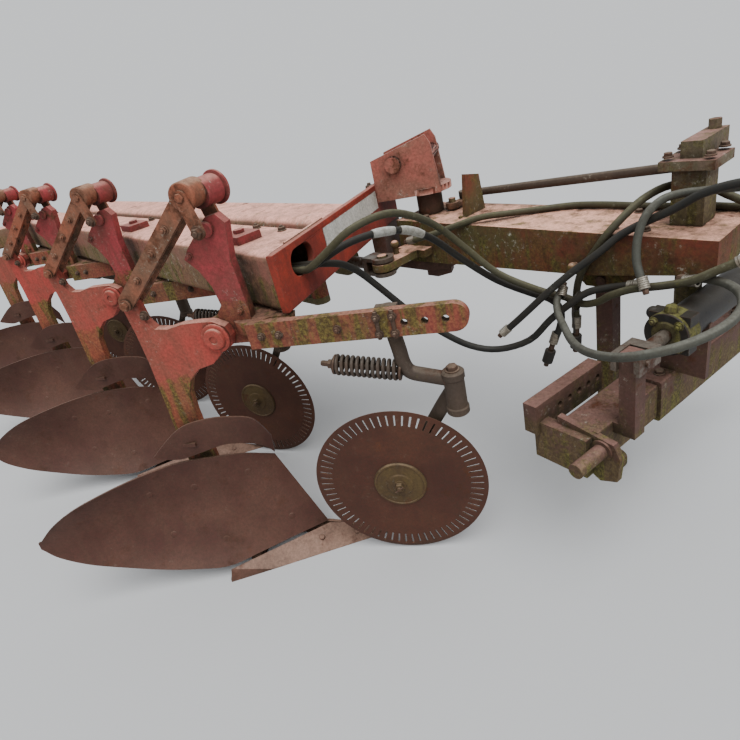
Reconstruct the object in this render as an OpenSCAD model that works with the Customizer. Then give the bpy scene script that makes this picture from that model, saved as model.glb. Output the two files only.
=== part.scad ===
/* [Main frame] */
// Distance between two bottoms, measured along the main beam
body_gap = 843; // [790:1:900]
// Angle between the main beam and the direction of travel, in degrees
beam_angle = 33.9; // [30:0.1:37]
// Height of the main beam's underside above the ground
beam_z = 830; // [800:1:900]
// Height of the main beam
beam_h = 155; // [130:1:180]
// Width of the main beam
beam_w = 205; // [180:1:230]
// Distance from the kingpin line to the beam's near face
beam_near = 75; // [68:1:90]
// Wall of the main beam
beam_wall = 10; // [8:1:14]
// Length of beam behind the last kingpin
beam_tail = 330; // [250:1:450]
// Width of the brace tube beside the main beam
brace_w = 200; // [150:1:210]
// Height of the brace tube
brace_h = 130; // [110:1:140]
// Gap between the main beam and the brace tube
brace_gap = 70; // [50:1:90]
// Length of the end plate across the front of both tubes
plate_len = 874; // [840:1:900]
// Thickness of the end plate
plate_t = 20; // [14:1:26]
// Length of the hose slot in the end plate
slot_len = 120; // [90:1:140]
// Height of the hose slot
slot_h = 74; // [60:1:84]

/* [Tongue and its hinge] */
// Distance of the frame hinge from the front kingpin, along the beam
hinge_along = 60; // [50:1:75]
// Distance of the frame hinge from the kingpin line, square to the beam
hinge_across = 720; // [700:1:735]
// Radius of the frame hinge pin
hinge_pin_r = 32; // [28:1:36]
// Width of the tongue
tongue_w = 224; // [200:1:236]
// Height of the tongue at its rear end
tongue_h = 148; // [136:1:152]
// Height of the tongue at its front end
tongue_tip_h = 82; // [74:1:100]
// Length of the tongue in front of the hinge
tongue_len = 960; // [930:1:1000]
// Length of the tongue behind the hinge
tongue_back = 70; // [64:1:76]
// Wall of the tongue
tongue_wall = 8; // [6:1:12]
// Length of the side horn that the width cylinder turns
horn_len = 280; // [260:1:300]

/* [Hitch] */
// Distance of the hitch kingpin from the frame hinge
hitch_out = 855; // [835:1:870]
// Distance of the hitch kingpin from the tongue's centre line
hitch_side = 15; // [0:1:30]
// Angle of the cross bar to the direction of travel, as parked
hitch_angle = 50; // [45:1:55]
// Radius of the hitch kingpin
hitch_pin_r = 32; // [28:1:36]
// Height of the cross bar's centre above the ground
bar_z = 435; // [420:1:450]
// Outer size of the square cross tube
cross_size = 118; // [110:1:126]
// Wall of the cross tube
cross_wall = 9; // [8:1:12]
// Distance between the shoulders of the two lift pins
pin_spread = 966; // [940:1:980]
// Radius of a lift pin
lift_pin_r = 18.3; // [16:0.1:20]
// Length of a lift pin outside its plate
lift_pin_len = 100; // [90:1:120]
// Length of the steering lever on the hitch kingpin
lever_len = 75; // [66:1:80]

/* [Bottoms] */
// Distance of the kingpin behind the share tip's zero line
king_x = 255; // [250:1:260]
// Distance of the kingpin to the left of the zero line
king_y = 81; // [76:1:86]
// Radius of a bottom's kingpin
king_r = 30; // [26:1:34]
// Distance of the standard's middle plane to the right of the zero line
std_side = 135; // [132:1:138]
// Thickness of the standard
std_t = 28; // [22:1:32]
// Height of the trip pivot
pivot_z = 796; // [790:1:802]
// Radius of the trip pivot bolt
pivot_r = 20; // [17:1:24]
// Thickness of the moldboard
mold_t = 8; // [6:0.5:10]
// Height of the perforated bar
bar_h = 71; // [64:1:76]
// Thickness of the perforated bar
bar_t = 25; // [20:1:30]
// Distance of the perforated bar's tip in front of the zero line
bar_tip = 384; // [360:1:400]
// Radius of the holes in the perforated bar
bar_hole_r = 9; // [7:0.5:11]

/* [Coulters] */
// Radius of the coulter disc
disc_r = 254; // [240:1:256]
// Thickness of the coulter disc
disc_t = 5; // [4:0.5:7]
// Radius of the round coulter pipe
pipe_r = 19; // [16:0.5:22]
// Wire radius of the cushion spring
spring_wire = 5; // [4:0.5:6]
// Outer radius of the cushion spring
spring_r = 29; // [25:1:32]

/* [Parallel linkage] */
// Distance of the linkage pins behind the kingpins, along the beam
link_back = 40; // [30:1:60]
// Distance of the linkage pins from the kingpin line
link_side = 235; // [228:1:250]
// Width of the parallel bar
link_w = 60; // [50:1:70]
// Thickness of the parallel bar
link_t = 22; // [18:1:26]

/* [Tail wheel] */
// Outer radius of the tail wheel's tyre
tyre_r = 330; // [315:1:345]
// Width of the tyre
tyre_w = 190; // [170:1:205]
// Radius of the rim
rim_r = 195; // [180:1:205]
// Distance of the caster post behind the last kingpin, along the beam
tail_back = 476; // [460:1:500]
// Distance of the caster post to the right of the kingpin line
tail_side = 611; // [590:1:640]
// Distance of the wheel's axle behind the caster post
tail_reach = 560; // [540:1:600]

/* [Stand] */
// Distance of the stand's pivot from the frame hinge, along the tongue
stand_out = 646; // [630:1:660]
// Outer size of the stand's square leg
leg_size = 50; // [44:1:56]
// Radius of the stand's foot
foot_r = 55; // [48:1:62]

/* [Hoses] */
// Outer radius of a hose
hose_r = 10; // [8:0.5:10]
// Radius of a pressed ferrule on a hose
ferrule_r = 13; // [11:0.5:13.5]

/* [Hidden] */
$fn = 48;

// Clearances: a running pin in its hole, and two faces that pass or seat without touching
fit = 0.3;
seat = 0.3;
// The row's origin is below the middle of the whole plough
origin_x = -1313;
origin_y = 677.25;

bottoms = 4;
last = bottoms - 1;
step_x = body_gap * cos(beam_angle);
step_y = body_gap * sin(beam_angle);
beam_top = beam_z + beam_h;
beam_far = beam_w - beam_near;
brace_near = beam_far + brace_gap;
// End plate: its near corner in the zero frame, and the way it leads to the left
plate_x = -72;
plate_y = -126;
plate_turn = 81.8;
slot_at = 133;
slot_z = beam_z + beam_h * 0.64;
tongue_top = beam_z + 20;
tongue_tip_top = tongue_top - 18;
tongue_bottom = tongue_top - tongue_h;
yoke_t = 32;
yoke_z = tongue_bottom - 14 - yoke_t;
head_z = tongue_top + 75;
head_t = 20;
horn_z = tongue_bottom + 36;
horn_t = 25;
horn_pin_r = 16;
eye_slack = 4;
cyl_r = 45;
rod_r = 20;
width_eye_x = 10;
width_run = 670;
width_tail_x = hinge_along + width_eye_x - width_run;
crank_z = tongue_top + 4;
rod_eye_z = crank_z + 17;
post_z = tongue_tip_top + 4;
post_h = 134;
lever_eye_z = post_z + post_h - 26;
shift_y = 85;
shift_z = bar_z + 220;
shift_r = 42;
stand_z = tongue_bottom - 28;
arm_t = 34;
arm_z = beam_z - 4 - arm_t;
link_z = beam_z - 140;
link_pin_len = arm_z + arm_t + 2 - link_z;
link_pin_r = 12;
share_side = -50;
beam_len = last * body_gap + beam_tail;
post_low = beam_z + 2;
post_high = beam_top;
tail_pivot_x = -40;
tail_pivot_z = tyre_r + 290;
mast_z = 1010;
lift_lean = 90 + atan2(100, mast_z - 560);
lift_slack = 7.5;

// Moldboard stations from the shin to the wing tip:
// lower edge x, y, z, upper edge x, y, z, hollow of the section, plate offset x, y
MOLD = [
    [-190, -61, 45, -307, -51, 326, 0, -1, 0],
    [-285, -140, 50, -368, -124, 384, 16, -0.8, 0.6],
    [-375, -210, 50, -446, -176, 411, 30, -0.6, 0.8],
    [-465, -270, 46, -540, -201, 413, 42, -0.4, 0.92],
    [-560, -302, 62, -608, -242, 415, 48, -0.3, 0.95],
    [-655, -330, 86, -673, -286, 412, 46, -0.2, 0.98],
    [-755, -364, 128, -740, -338, 406, 36, -0.1, 1],
    [-850, -400, 178, -812, -386, 390, 24, 0, 1],
    [-925, -420, 226, -885, -414, 353, 10, 0, 1],
    [-957, -429, 268, -948, -428, 302, 2, 0, 1]];
// Share stations from the nose to the heel: cutting edge x, y, z, rear edge x, y, z
SHARE = [
    [45, -52, 0, 43, -50, 6],
    [-70, -108, 0, -80, -50, 26],
    [-205, -173, 0, -185, -66, 40],
    [-335, -236, 0, -283, -145, 42],
    [-464, -296, 0, -463, -275, 36]];
// Trash board stations from the shin to its rear tip: lower x, y, z, upper x, y, z
TRASH = [
    [-298, -62, 340, -276, -84, 420],
    [-303, -92, 386, -282, -135, 517],
    [-330, -127, 425, -336, -160, 545],
    [-388, -164, 450, -395, -180, 555],
    [-462, -192, 442, -460, -200, 551],
    [-525, -206, 431, -514, -215, 525],
    [-578, -238, 458, -586, -240, 466]];
// How each coulter stands in its caster, in degrees
CASTER = [4, -8, 3, -4];
// Outline of the standard: x and z, from the horn round to the heel
STANDARD = [
    [-524, 936], [-502, 940], [-492, 905], [-488, 862], [-470, 836], [-430, 832], [-380, 842],
    [-325, 842], [-287, 840], [-254, 823], [-244, 796], [-254, 766], [-287, 752],
    [-330, 716], [-385, 702], [-425, 668], [-447, 625], [-455, 560], [-457, 480], [-455, 300],
    [-445, 120], [-530, 120], [-545, 300], [-552, 440], [-546, 540], [-540, 640],
    [-535, 740], [-536, 830], [-541, 900]];
// Outline of the bracket casting: x and z
BRACKET = [
    [-222, 1100], [-192, 1104], [-172, 1080], [-190, 988], [-188, 904], [-186, 847], [-188, 826], [-176, 824],
    [-72, 824], [-90, 758], [-189, 758], [-330, 758], [-330, 826], [-287, 842],
    [-262, 872], [-269, 926], [-291, 972], [-319, 1005], [-300, 1030], [-250, 1075]];

// Hose routes in the tongue's frame, x, y and z of each point, laid by hand
ROUTE_UPPER = [
    [105, -715, 905], [159, -689, 905], [182, -678, 908], [222, -645, 940], [282, -600, 988],
    [318, -520, 1003], [325, -440, 982], [335, -345, 922], [362, -275, 840], [432, -222, 745],
    [532, -178, 688], [600, -152, 664], [650, -150, 650], [700, -160, 668], [745, -176, 700],
    [800, -177, 724], [870, -176, 741], [930, -177, 760], [985, -166, 790], [1045, -152, 822]];
ROUTE_MIDDLE = [
    [96, -696, 903], [150, -670, 903], [172, -660, 906], [205, -632, 925], [232, -585, 943],
    [248, -520, 946], [260, -450, 937], [276, -380, 915], [300, -318, 868], [340, -262, 795],
    [412, -205, 715], [500, -165, 668], [545, -150, 652], [575, -148, 632], [585, -152, 600],
    [578, -158, 560], [560, -164, 515]];
ROUTE_LOWER = [
    [87, -677, 905], [141, -651, 905], [163, -640, 905], [186, -612, 898], [190, -570, 878],
    [188, -520, 835], [210, -475, 770], [252, -420, 680], [302, -360, 597], [362, -302, 532],
    [430, -252, 510], [510, -207, 536], [575, -195, 608], [625, -178, 655], [670, -160, 690],
    [720, -151, 706], [770, -150, 718], [810, -150, 727]];
ROUTE_LOOP = [
    [904, -150, 748], [944, -150, 757], [1000, -172, 760], [1045, -225, 762], [1068, -300, 762],
    [1060, -385, 758], [1010, -455, 742], [920, -478, 712], [820, -430, 676], [730, -345, 645],
    [660, -265, 638], [618, -222, 650], [602, -196, 676], [606, -168, 703]];
ROUTE_TOP = [
    [50, -188, 806], [110, -176, 818], [170, -152, 833], [230, -124, 850], [290, -85, 862],
    [350, -30, 858], [420, 35, 852], [500, 80, 851], [590, 92, 850], [680, 92, 848], [770, 96, 846],
    [850, 108, 845], [930, 108, 843], [1000, 110, 846], [1050, 112, 850]];
ROUTE_FEED = [
    [455, -262, 572], [500, -242, 615], [580, -207, 697], [640, -183, 752], [704, -156, 804],
    [745, -130, 842], [800, -112, 872], [860, -106, 902], [915, -101, 935], [980, -99, 955],
    [1050, -98, 962]];
ROUTE_HUNG = [
    [615, -126, 560], [617, -126, 640], [625, -126, 700], [645, -127, 748], [680, -127, 800],
    [710, -123, 843], [738, -80, 882], [758, -20, 905], [790, 45, 915], [850, 86, 905],
    [905, 86, 880], [960, 75, 862], [1010, 55, 862], [1050, 45, 868]];
ROUTE_RETURN = [
    [1050, -60, 935], [980, -62, 938], [910, -68, 932], [862, -75, 928], [828, -98, 920],
    [806, -130, 892], [800, -155, 850], [806, -175, 803], [822, -190, 768], [840, -202, 738]];
// Steel ends of a hose, from the rubber outwards: length and radius
JOINED = [[36, ferrule_r], [12, 15]];
SCREWED = [[30, ferrule_r], [12, 8]];
COUPLED = [[38, ferrule_r], [24, 9], [42, 16], [14, 8]];
PLAIN = [[2, hose_r - 3]];
hose_sides = 8;
port_r = 15;

function cubic(a, b, c, t) = a * (1 - t) * (1 - t) + b * 2 * t * (1 - t) + c * t * t;
function mold_point(m, t) = let (a = [m[0], m[1], m[2]], c = [m[3], m[4], m[5]])
    cubic(a, (a + c) / 2 + 2 * m[6] * [-0.5, 0.85, 0], c, t);
function flat(list) = [for (row = list) for (p = row) p];

function unit(v) = v / norm(v);
function last_of(p) = p[len(p) - 1];
function heading(p) = unit(last_of(p) - p[len(p) - 2]);
function reach(ends, n) = n == 0 ? 0 : ends[n - 1][0] + reach(ends, n - 1);
// Centre of the round port that the far end of a hose screws into
function port(p, ends) = last_of(p) + (reach(ends, len(ends)) + port_r + seat) * heading(p);
function reversed(p) = [for (i = [len(p) - 1:-1:0]) p[i]];
// A smooth curve through all points of a route, with n steps from each point to the next
function smooth(p, n) = let (m = len(p) - 1) concat([
    for (i = [0:m - 1]) for (j = [0:n - 1])
        let (t = j / n, a = p[max(i - 1, 0)], b = p[i], c = p[i + 1], d = p[min(i + 2, m)])
        b + (t * (c - a) + t * t * (2 * a - 5 * b + 4 * c - d) + t * t * t * (3 * b - a - 3 * c + d)) / 2
    ], [p[m]]);
function ring(c, way, r) = let (side = unit(cross(way, [0.05, 0.02, 1])), top = cross(side, way))
    [for (i = [0:hose_sides - 1]) let (a = i * 360 / hose_sides - 90) c + r * (cos(a) * side + sin(a) * top)];

module place() {
    translate([-origin_x, -origin_y, 0]) children();
}
module at_bottom(k) {
    place() translate([-k * step_x, k * step_y, 0]) children();
}
module beam_frame() {
    place() translate([-king_x, king_y, 0]) rotate([0, 0, -beam_angle]) children();
}
module tongue_frame() {
    beam_frame() translate([hinge_along, hinge_across, 0]) children();
}
module plate_frame() {
    place() translate([plate_x, plate_y, 0]) rotate([0, 0, plate_turn]) children();
}
module hitch_frame() {
    tongue_frame() translate([hitch_out, hitch_side, 0])
        rotate([0, 0, beam_angle + hitch_angle]) children();
}
module rounded(w, h, r) {
    translate([-w / 2 + r, -h / 2]) square([w - 2 * r, h]);
    translate([-w / 2, -h / 2 + r]) square([w, h - 2 * r]);
    for (sx = [-1, 1], sy = [-1, 1])
        translate([sx * (w / 2 - r), sy * (h / 2 - r)]) circle(r, $fn = 32);
}
// A round-cornered tube along +X, centred on Y and Z
module box_tube(length, w, h, r, wall) {
    rotate([90, 0, 90]) linear_extrude(length) difference() {
        rounded(w, h, r);
        rounded(w - 2 * wall, h - 2 * wall, r - wall * 0.7);
    }
}
// A flat bar with round ends between two points, lying flat
module strap(a, b, w, t) {
    length = norm(b - a);
    translate([a[0], a[1], 0]) rotate([0, 0, atan2(b[1] - a[1], b[0] - a[0])]) {
        linear_extrude(t) {
            translate([0, -w / 2]) square([length, w]);
            circle(w / 2);
            translate([length, 0]) circle(w / 2);
        }
    }
}
// Upright plate: an outline in x and z, standing between two y values
module upright(outline, y0, y1) {
    translate([0, y1, 0]) rotate([90, 0, 0]) linear_extrude(y1 - y0) polygon(outline);
}
module rod_y(x, z, r, y0, y1) {
    translate([x, y0, z]) rotate([-90, 0, 0]) cylinder(y1 - y0, r, r);
}
module rod_x(r, x0, x1) {
    translate([x0, 0, 0]) rotate([0, 90, 0]) cylinder(x1 - x0, r, r);
}
module hex_x(r, x0, x1) {
    translate([x0, 0, 0]) rotate([0, 90, 0]) cylinder(x1 - x0, r, r, $fn = 6);
}
// A bent sheet from rows of points: the front rows, then the back rows
module sheet(front, back) {
    rows = len(front);
    cols = len(front[0]);
    n = rows * cols;
    points = concat(flat(front), flat(back));
    skin = [for (i = [0:rows - 2]) for (j = [0:cols - 2]) for (s = [0, 1])
        let (a = i * cols + j, b = a + 1, c = a + cols + 1, d = a + cols)
        s == 0 ? [a, c, b] : [a, d, c]];
    rear = [for (f = skin) [f[2] + n, f[1] + n, f[0] + n]];
    ends = [for (j = [0:cols - 2]) for (i = [0, rows - 1]) for (s = [0, 1])
        let (a = i * cols + j, b = a + 1, q = i == 0 ? [b, a, a + n, b + n] : [a, b, b + n, a + n])
        s == 0 ? [q[0], q[2], q[1]] : [q[0], q[3], q[2]]];
    sides = [for (i = [0:rows - 2]) for (j = [0, cols - 1]) for (s = [0, 1])
        let (a = i * cols + j, b = a + cols, q = j == 0 ? [a, b, b + n, a + n] : [b, a, a + n, b + n])
        s == 0 ? [q[0], q[2], q[1]] : [q[0], q[3], q[2]]];
    polyhedron(points, concat(skin, rear, ends, sides), convexity = 6);
}

module main_beam() {
    color("indianred") difference() {
        beam_frame() translate([-beam_len, (beam_far - beam_near) / 2, beam_z + beam_h / 2]) {
            box_tube(beam_len + 450, beam_w, beam_h, 18, beam_wall);
            translate([3, 3 - beam_w / 2, 3 - beam_h / 2]) cube([8, beam_w - 6, beam_h - 6]);
        }
        ahead_of_plate(plate_t);
        beam_frame() for (k = [0:last])
            translate([-k * body_gap, 0, beam_z - 5]) cylinder(beam_h + 10, king_r + fit, king_r + fit);
    }
}
module brace_tube() {
    color("lightcoral") difference() {
        beam_frame() union() {
            translate([-beam_len + 420, brace_near + brace_w / 2, beam_top - 6 - brace_h / 2])
                box_tube(beam_len, brace_w, brace_h, 34, 8);
            for (i = [0:last - 1])
                translate([-(i + 0.5) * body_gap - 60, beam_far, beam_z + 40])
                    cube([120, brace_gap + 6, beam_h - 80]);
            // Lug for the width cylinder's rear end
            for (s = [-1, 1]) translate([width_tail_x - 34, hinge_across - horn_len + 2 + s * 38 - 6, horn_z - 24])
                cube([68, 12, beam_top - 6 - brace_h - horn_z + 12]);
            translate([width_tail_x - 60, brace_near + 60, beam_top - 6 - brace_h - 14])
                cube([120, hinge_across - horn_len + 46 - brace_near - 60, 15]);
        }
        ahead_of_plate(plate_t);
        beam_frame() rod_y(width_tail_x, horn_z + horn_t / 2, 18 + fit, brace_near + brace_w - 40, hinge_across);
    }
}
module end_plate() {
    color("firebrick") plate_frame() difference() {
        translate([0, 0, beam_z]) cube([plate_len, plate_t, beam_h]);
        translate([slot_at, plate_t + 1, slot_z]) rotate([90, 0, 0]) linear_extrude(plate_t + 2)
            union() {
                square([slot_len - slot_h, slot_h], center = true);
                translate([(slot_h - slot_len) / 2, 0]) circle(slot_h / 2);
                translate([(slot_len - slot_h) / 2, 0]) circle(slot_h / 2);
            }
    }
}
module headstock() {
    side = [
        [-170, head_z], [-170, beam_top + 76], [25, beam_top + 128], [40, beam_top + 100],
        [55, head_z + head_t], [55, head_z]];
    color("tomato") difference() {
        union() {
            tongue_frame() {
                translate([0, 0, head_z]) cylinder(head_t, 82, 82);
                translate([-320, -82, head_z]) cube([320, 164, head_t]);
            }
            tongue_frame() rotate([0, 0, beam_angle]) {
                for (s = [-1, 1]) upright(side, s * 66 - 8, s * 66 + 8);
                rod_y(-90, beam_top + 55, 26, -96, 90);
                rod_y(22, beam_top + 62, 22, -74, 104);
            }
        }
        behind_plate(0);
        tongue_frame() translate([0, 0, head_z - 1]) cylinder(head_t + 2, hinge_pin_r + fit, hinge_pin_r + fit);
    }
}
module hinge_casting() {
    color("dimgray") union() {
        tongue_frame() {
            translate([0, 0, yoke_z]) cylinder(yoke_t, 78, 78);
            translate([0, 0, yoke_z - 36]) cylinder(head_z + head_t + 36 + 30 - yoke_z, hinge_pin_r, hinge_pin_r);
            translate([0, 0, yoke_z - 34]) cylinder(34, 52, 52, $fn = 6);
            translate([0, 0, yoke_z + yoke_t]) cylinder(tongue_bottom - yoke_z - yoke_t - seat, 60, 60);
            translate([0, 0, tongue_top + seat]) cylinder(head_z - tongue_top - 2 * seat, 45, 45);
            translate([0, 0, head_z + head_t + seat]) cylinder(24, 48, 48, $fn = 6);
        }
        difference() {
            tongue_frame() translate([-320, -78, yoke_z]) cube([320, 156, yoke_t]);
            behind_plate(50);
        }
        plate_frame() translate([700, 0, yoke_z]) cube([plate_len - 700, 50, beam_z - yoke_z]);
    }
}
module width_barrel() {
    color("darkolivegreen") tongue_frame()
        translate([width_eye_x - width_run, -horn_len + 2, horn_z + horn_t / 2]) difference() {
            union() {
                rod_x(cyl_r, 42, width_run - 190);
                rod_x(cyl_r + 7, width_run - 236, width_run - 190);
                translate([-28, -28, -28]) cube([74, 56, 56]);
                rod_y(0, 0, 18, -50, 50);
            }
            rod_x(rod_r + fit, 60, width_run);
        }
}
module width_rod() {
    color("silver") tongue_frame()
        translate([width_eye_x - width_run, -horn_len + 2, horn_z + horn_t / 2]) difference() {
            union() {
                rod_x(rod_r, 160, width_run - 70);
                translate([width_run, 0, -horn_t / 2 - 18]) cylinder(horn_t + 36, 38, 38);
                translate([width_run - 76, -30, -horn_t / 2 - 18]) cube([60, 60, horn_t + 36]);
            }
            translate([width_run, 0, -100]) cylinder(200, horn_pin_r + eye_slack, horn_pin_r + eye_slack);
            translate([width_run - 54, -60, -horn_t / 2 - 5]) cube([150, 120, horn_t + 10]);
        }
}
module tongue_side(inset) {
    polygon([
        [-tongue_back + inset, tongue_bottom + inset], [-tongue_back + inset, tongue_top - inset],
        [tongue_len - inset, tongue_tip_top - inset], [tongue_len - inset, tongue_tip_top - tongue_tip_h + inset],
        [stand_out, tongue_bottom + 16 + inset]]);
}
module tongue() {
    color("sienna") tongue_frame() difference() {
        union() {
            difference() {
                translate([0, tongue_w / 2, 0]) rotate([90, 0, 0]) linear_extrude(tongue_w) tongue_side(0);
                translate([0, tongue_w / 2 - tongue_wall, 0]) rotate([90, 0, 0])
                    linear_extrude(tongue_w - 2 * tongue_wall) tongue_side(tongue_wall);
            }
            translate([0, 0, tongue_bottom + 4]) cylinder(tongue_h - 6, 66, 66);
            translate([hitch_out, hitch_side, tongue_tip_top - tongue_tip_h - 6]) cylinder(tongue_tip_h + 4, 62, 62);
            // Stop plate across the top, in front of the hinge
            translate([175, -43, tongue_top - 10]) rotate([90, 0, 90]) linear_extrude(14)
                polygon([[0, 0], [105, 0], [90, 122], [22, 138]]);
            // Side horn for the width cylinder
            translate([0, 0, horn_z]) {
                strap([width_eye_x, -tongue_w / 2 + 2], [width_eye_x, -horn_len], 76, horn_t);
                translate([-48, -tongue_w / 2 - 40, 0]) cube([130, 44, horn_t]);
            }
            translate([width_eye_x, -horn_len, horn_z - 24]) cylinder(horn_t + 48, horn_pin_r, horn_pin_r);
            // Gussets that carry the stand
            for (s = [-1, 1]) translate([0, s * (leg_size / 2 + 9) + 5, 0]) rotate([90, 0, 0]) linear_extrude(10)
                polygon([[stand_out - 110, tongue_bottom + 20], [stand_out - 46, tongue_bottom - 48],
                    [stand_out + 46, tongue_bottom - 48], [stand_out + 150, tongue_bottom + 26]]);
            // Pin for the bell crank
            translate([75, 30, tongue_top - 6]) cylinder(44, 12, 12);
            // Ports for the looped hose and for the hose over the top
            let (c = port(ROUTE_LOOP, SCREWED)) {
                translate(c) sphere(port_r);
                rod_y(c[0], c[2], 11, c[1], 3 - tongue_w / 2);
            }
            let (c = port(reversed(ROUTE_TOP), SCREWED)) {
                translate(c) sphere(port_r);
                translate([c[0], c[1], horn_z + 3]) cylinder(c[2] - horn_z - 3, 10, 10);
            }
        }
        cylinder(2000, hinge_pin_r + fit, hinge_pin_r + fit);
        translate([hitch_out, hitch_side, 0]) cylinder(2000, hitch_pin_r + fit, hitch_pin_r + fit);
        rod_y(stand_out, stand_z, 14 + fit, -80, 80);
    }
}
module bell_crank() {
    color("saddlebrown") tongue_frame() difference() {
        translate([75, 30, crank_z]) union() {
            strap([0, 0], [0, lever_len], 40, 14);
            cylinder(20, 24, 24);
            translate([0, lever_len, 0]) cylinder(42, 11, 11);
        }
        translate([75, 30, 0]) cylinder(2000, 12 + fit, 12 + fit);
    }
}
module steer_rod() {
    rise = lever_eye_z - rod_eye_z;
    run = hitch_out - 75;
    color("dimgray") tongue_frame() difference() {
        translate([75, 30 + lever_len, rod_eye_z + 11]) union() {
            rotate([0, -atan2(rise, run), atan2(hitch_side - 30, run)])
                rod_x(13, 16, norm([run, rise, hitch_side - 30]) - 16);
            translate([0, 0, -11]) cylinder(22, 24, 24);
            translate([run, hitch_side - 30, rise - 11]) cylinder(22, 24, 24);
        }
        for (p = [[75, 30 + lever_len], [hitch_out, hitch_side + lever_len]])
            translate([p[0], p[1], 0]) cylinder(2000, 11 + fit, 11 + fit);
    }
}
module hitch_post() {
    relief = post_h + post_z - lever_eye_z;
    color("rosybrown") tongue_frame() translate([hitch_out, hitch_side, 0]) union() {
        difference() {
            translate([-38, -38, post_z]) cube([76, 76, post_h]);
            translate([-38, 38, lever_eye_z]) rotate(45) cube([60, 27, 2 * relief], center = true);
        }
        translate([-62, -58, post_z + post_h]) cube([124, 116, 22]);
        translate([-24, -30, post_z + post_h + 20]) cube([48, 160, 40]);
        translate([0, lever_len, lever_eye_z - 4]) cylinder(post_z + post_h + 24 - lever_eye_z, 11, 11);
        translate([0, 105, post_z + post_h + 58]) cylinder(24, 15, 15, $fn = 6);
        translate([0, 0, bar_z + cross_size / 2 - 2]) cylinder(post_z - bar_z - cross_size / 2 + 4, hitch_pin_r, hitch_pin_r);
    }
}
module hitch_tube() {
    top = bar_z + cross_size / 2;
    color("rosybrown") hitch_frame() difference() {
        union() {
            translate([-220, 0, bar_z]) box_tube(500, cross_size, cross_size, 8, cross_wall);
            translate([0, 0, top]) cylinder(104, 56, 50);
            for (x = [-150, 230]) translate([x, -128, top - 2]) cube([16, 112, 150]);
        }
        translate([0, 0, top - 4]) cylinder(600, hitch_pin_r + fit, hitch_pin_r + fit);
        translate([0, -shift_y, shift_z]) rod_x(shift_r + fit, -400, 500);
    }
}
module hitch_barrel() {
    color("dimgray") difference() {
        union() {
            hitch_frame() translate([0, -shift_y, shift_z]) {
                rod_x(shift_r, -205, 330);
                rod_x(shift_r + 10, -262, -204);
                translate([-250, -48, -48]) cube([36, 96, 96]);
            }
            tongue_frame() translate(port(ROUTE_RETURN, SCREWED)) sphere(port_r);
        }
        hitch_frame() translate([0, -shift_y, shift_z]) rod_x(16 + fit, -300, 300);
    }
}
module hitch_bar() {
    size = cross_size - 2 * cross_wall - 2 * seat;
    half = pin_spread / 2;
    color("rosybrown") hitch_frame() difference() {
        translate([0, 0, bar_z]) union() {
            translate([-half + 10, 0, 0]) rotate([90, 0, 90]) linear_extrude(pin_spread - 20) rounded(size, size, 5);
            for (s = [-1, 1]) {
                // Pin plate and lift pin
                translate([s * (half - 9) - 9, 0, 0]) rotate([90, 0, 90]) linear_extrude(18)
                    polygon([[55, -45], [55, 62], [-95, 40], [-112, 5], [-104, -62], [-60, -80], [-10, -50]]);
                translate([s * (half + lift_pin_len / 2 - 3), -66, 15]) rotate([0, 90, 0])
                    cylinder(lift_pin_len + 6, lift_pin_r, lift_pin_r, center = true);
                translate([s * (half + 2), -66, 15]) rotate([0, 90, 0]) cylinder(8, 27, 27, center = true);
            }
            // Perforated rail behind the bar, with its end bracket
            difference() {
                translate([-half - 32, 92, 5]) cube([270, 40, 84]);
                for (i = [0:4]) translate([-half + 60 + i * 40, 90, 50]) rotate([-90, 0, 0]) cylinder(50, 9, 9);
            }
            translate([-half - 22, -40, -70]) cube([34, 150, 110]);
            // Lug for the cylinder rod
            translate([-half + 68, -shift_y - 20, 20]) cube([40, shift_y - 20, 29]);
            translate([-half + 68, -shift_y - 20, 20]) cube([40, 40, shift_z - bar_z]);
        }
        rod_y(-half + 88, shift_z, 9 + fit, -shift_y - 60, -shift_y + 60);
    }
}
module hitch_rod() {
    half = pin_spread / 2;
    color("silver") hitch_frame() translate([0, -shift_y, shift_z]) union() {
        rod_x(16, -half + 134, 130);
        difference() {
            translate([-half + 58, -34, -22]) cube([84, 68, 44]);
            translate([-half + 50, -20 - seat, -30]) cube([62, 40 + 2 * seat, 60]);
        }
        rod_y(-half + 88, 0, 9, -40, 40);
    }
}
module stand_leg() {
    color("dimgray") tongue_frame() union() {
        translate([stand_out - leg_size / 2, -leg_size / 2, 14]) cube([leg_size, leg_size, stand_z - 14]);
        translate([stand_out, 0, 0]) cylinder(16, foot_r, foot_r);
        rod_y(stand_out, stand_z, 14, -leg_size / 2 - 20, leg_size / 2 + 20);
        rod_y(stand_out, stand_z, leg_size / 2, -leg_size / 2, leg_size / 2);
    }
}
module parallel_bar() {
    pins = [for (k = [0:bottoms]) k <= last ? [-k * body_gap, 0] : [-last * body_gap - tail_back, -tail_side]];
    color("darkkhaki") beam_frame() translate([-link_back, link_side, link_z]) union() {
        linear_extrude(link_t) for (i = [0:bottoms]) {
            translate(pins[i]) circle(link_w / 2);
            if (i > 0) let (a = pins[i - 1], b = pins[i])
                translate(a) rotate(atan2(b[1] - a[1], b[0] - a[0]))
                    translate([0, 1 - link_w / 2]) square([norm(b - a), link_w - 2]);
        }
        for (p = pins) translate([p[0], p[1], link_t / 2])
            cylinder(link_pin_len - link_t / 2, link_pin_r, link_pin_r);
    }
}
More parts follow.
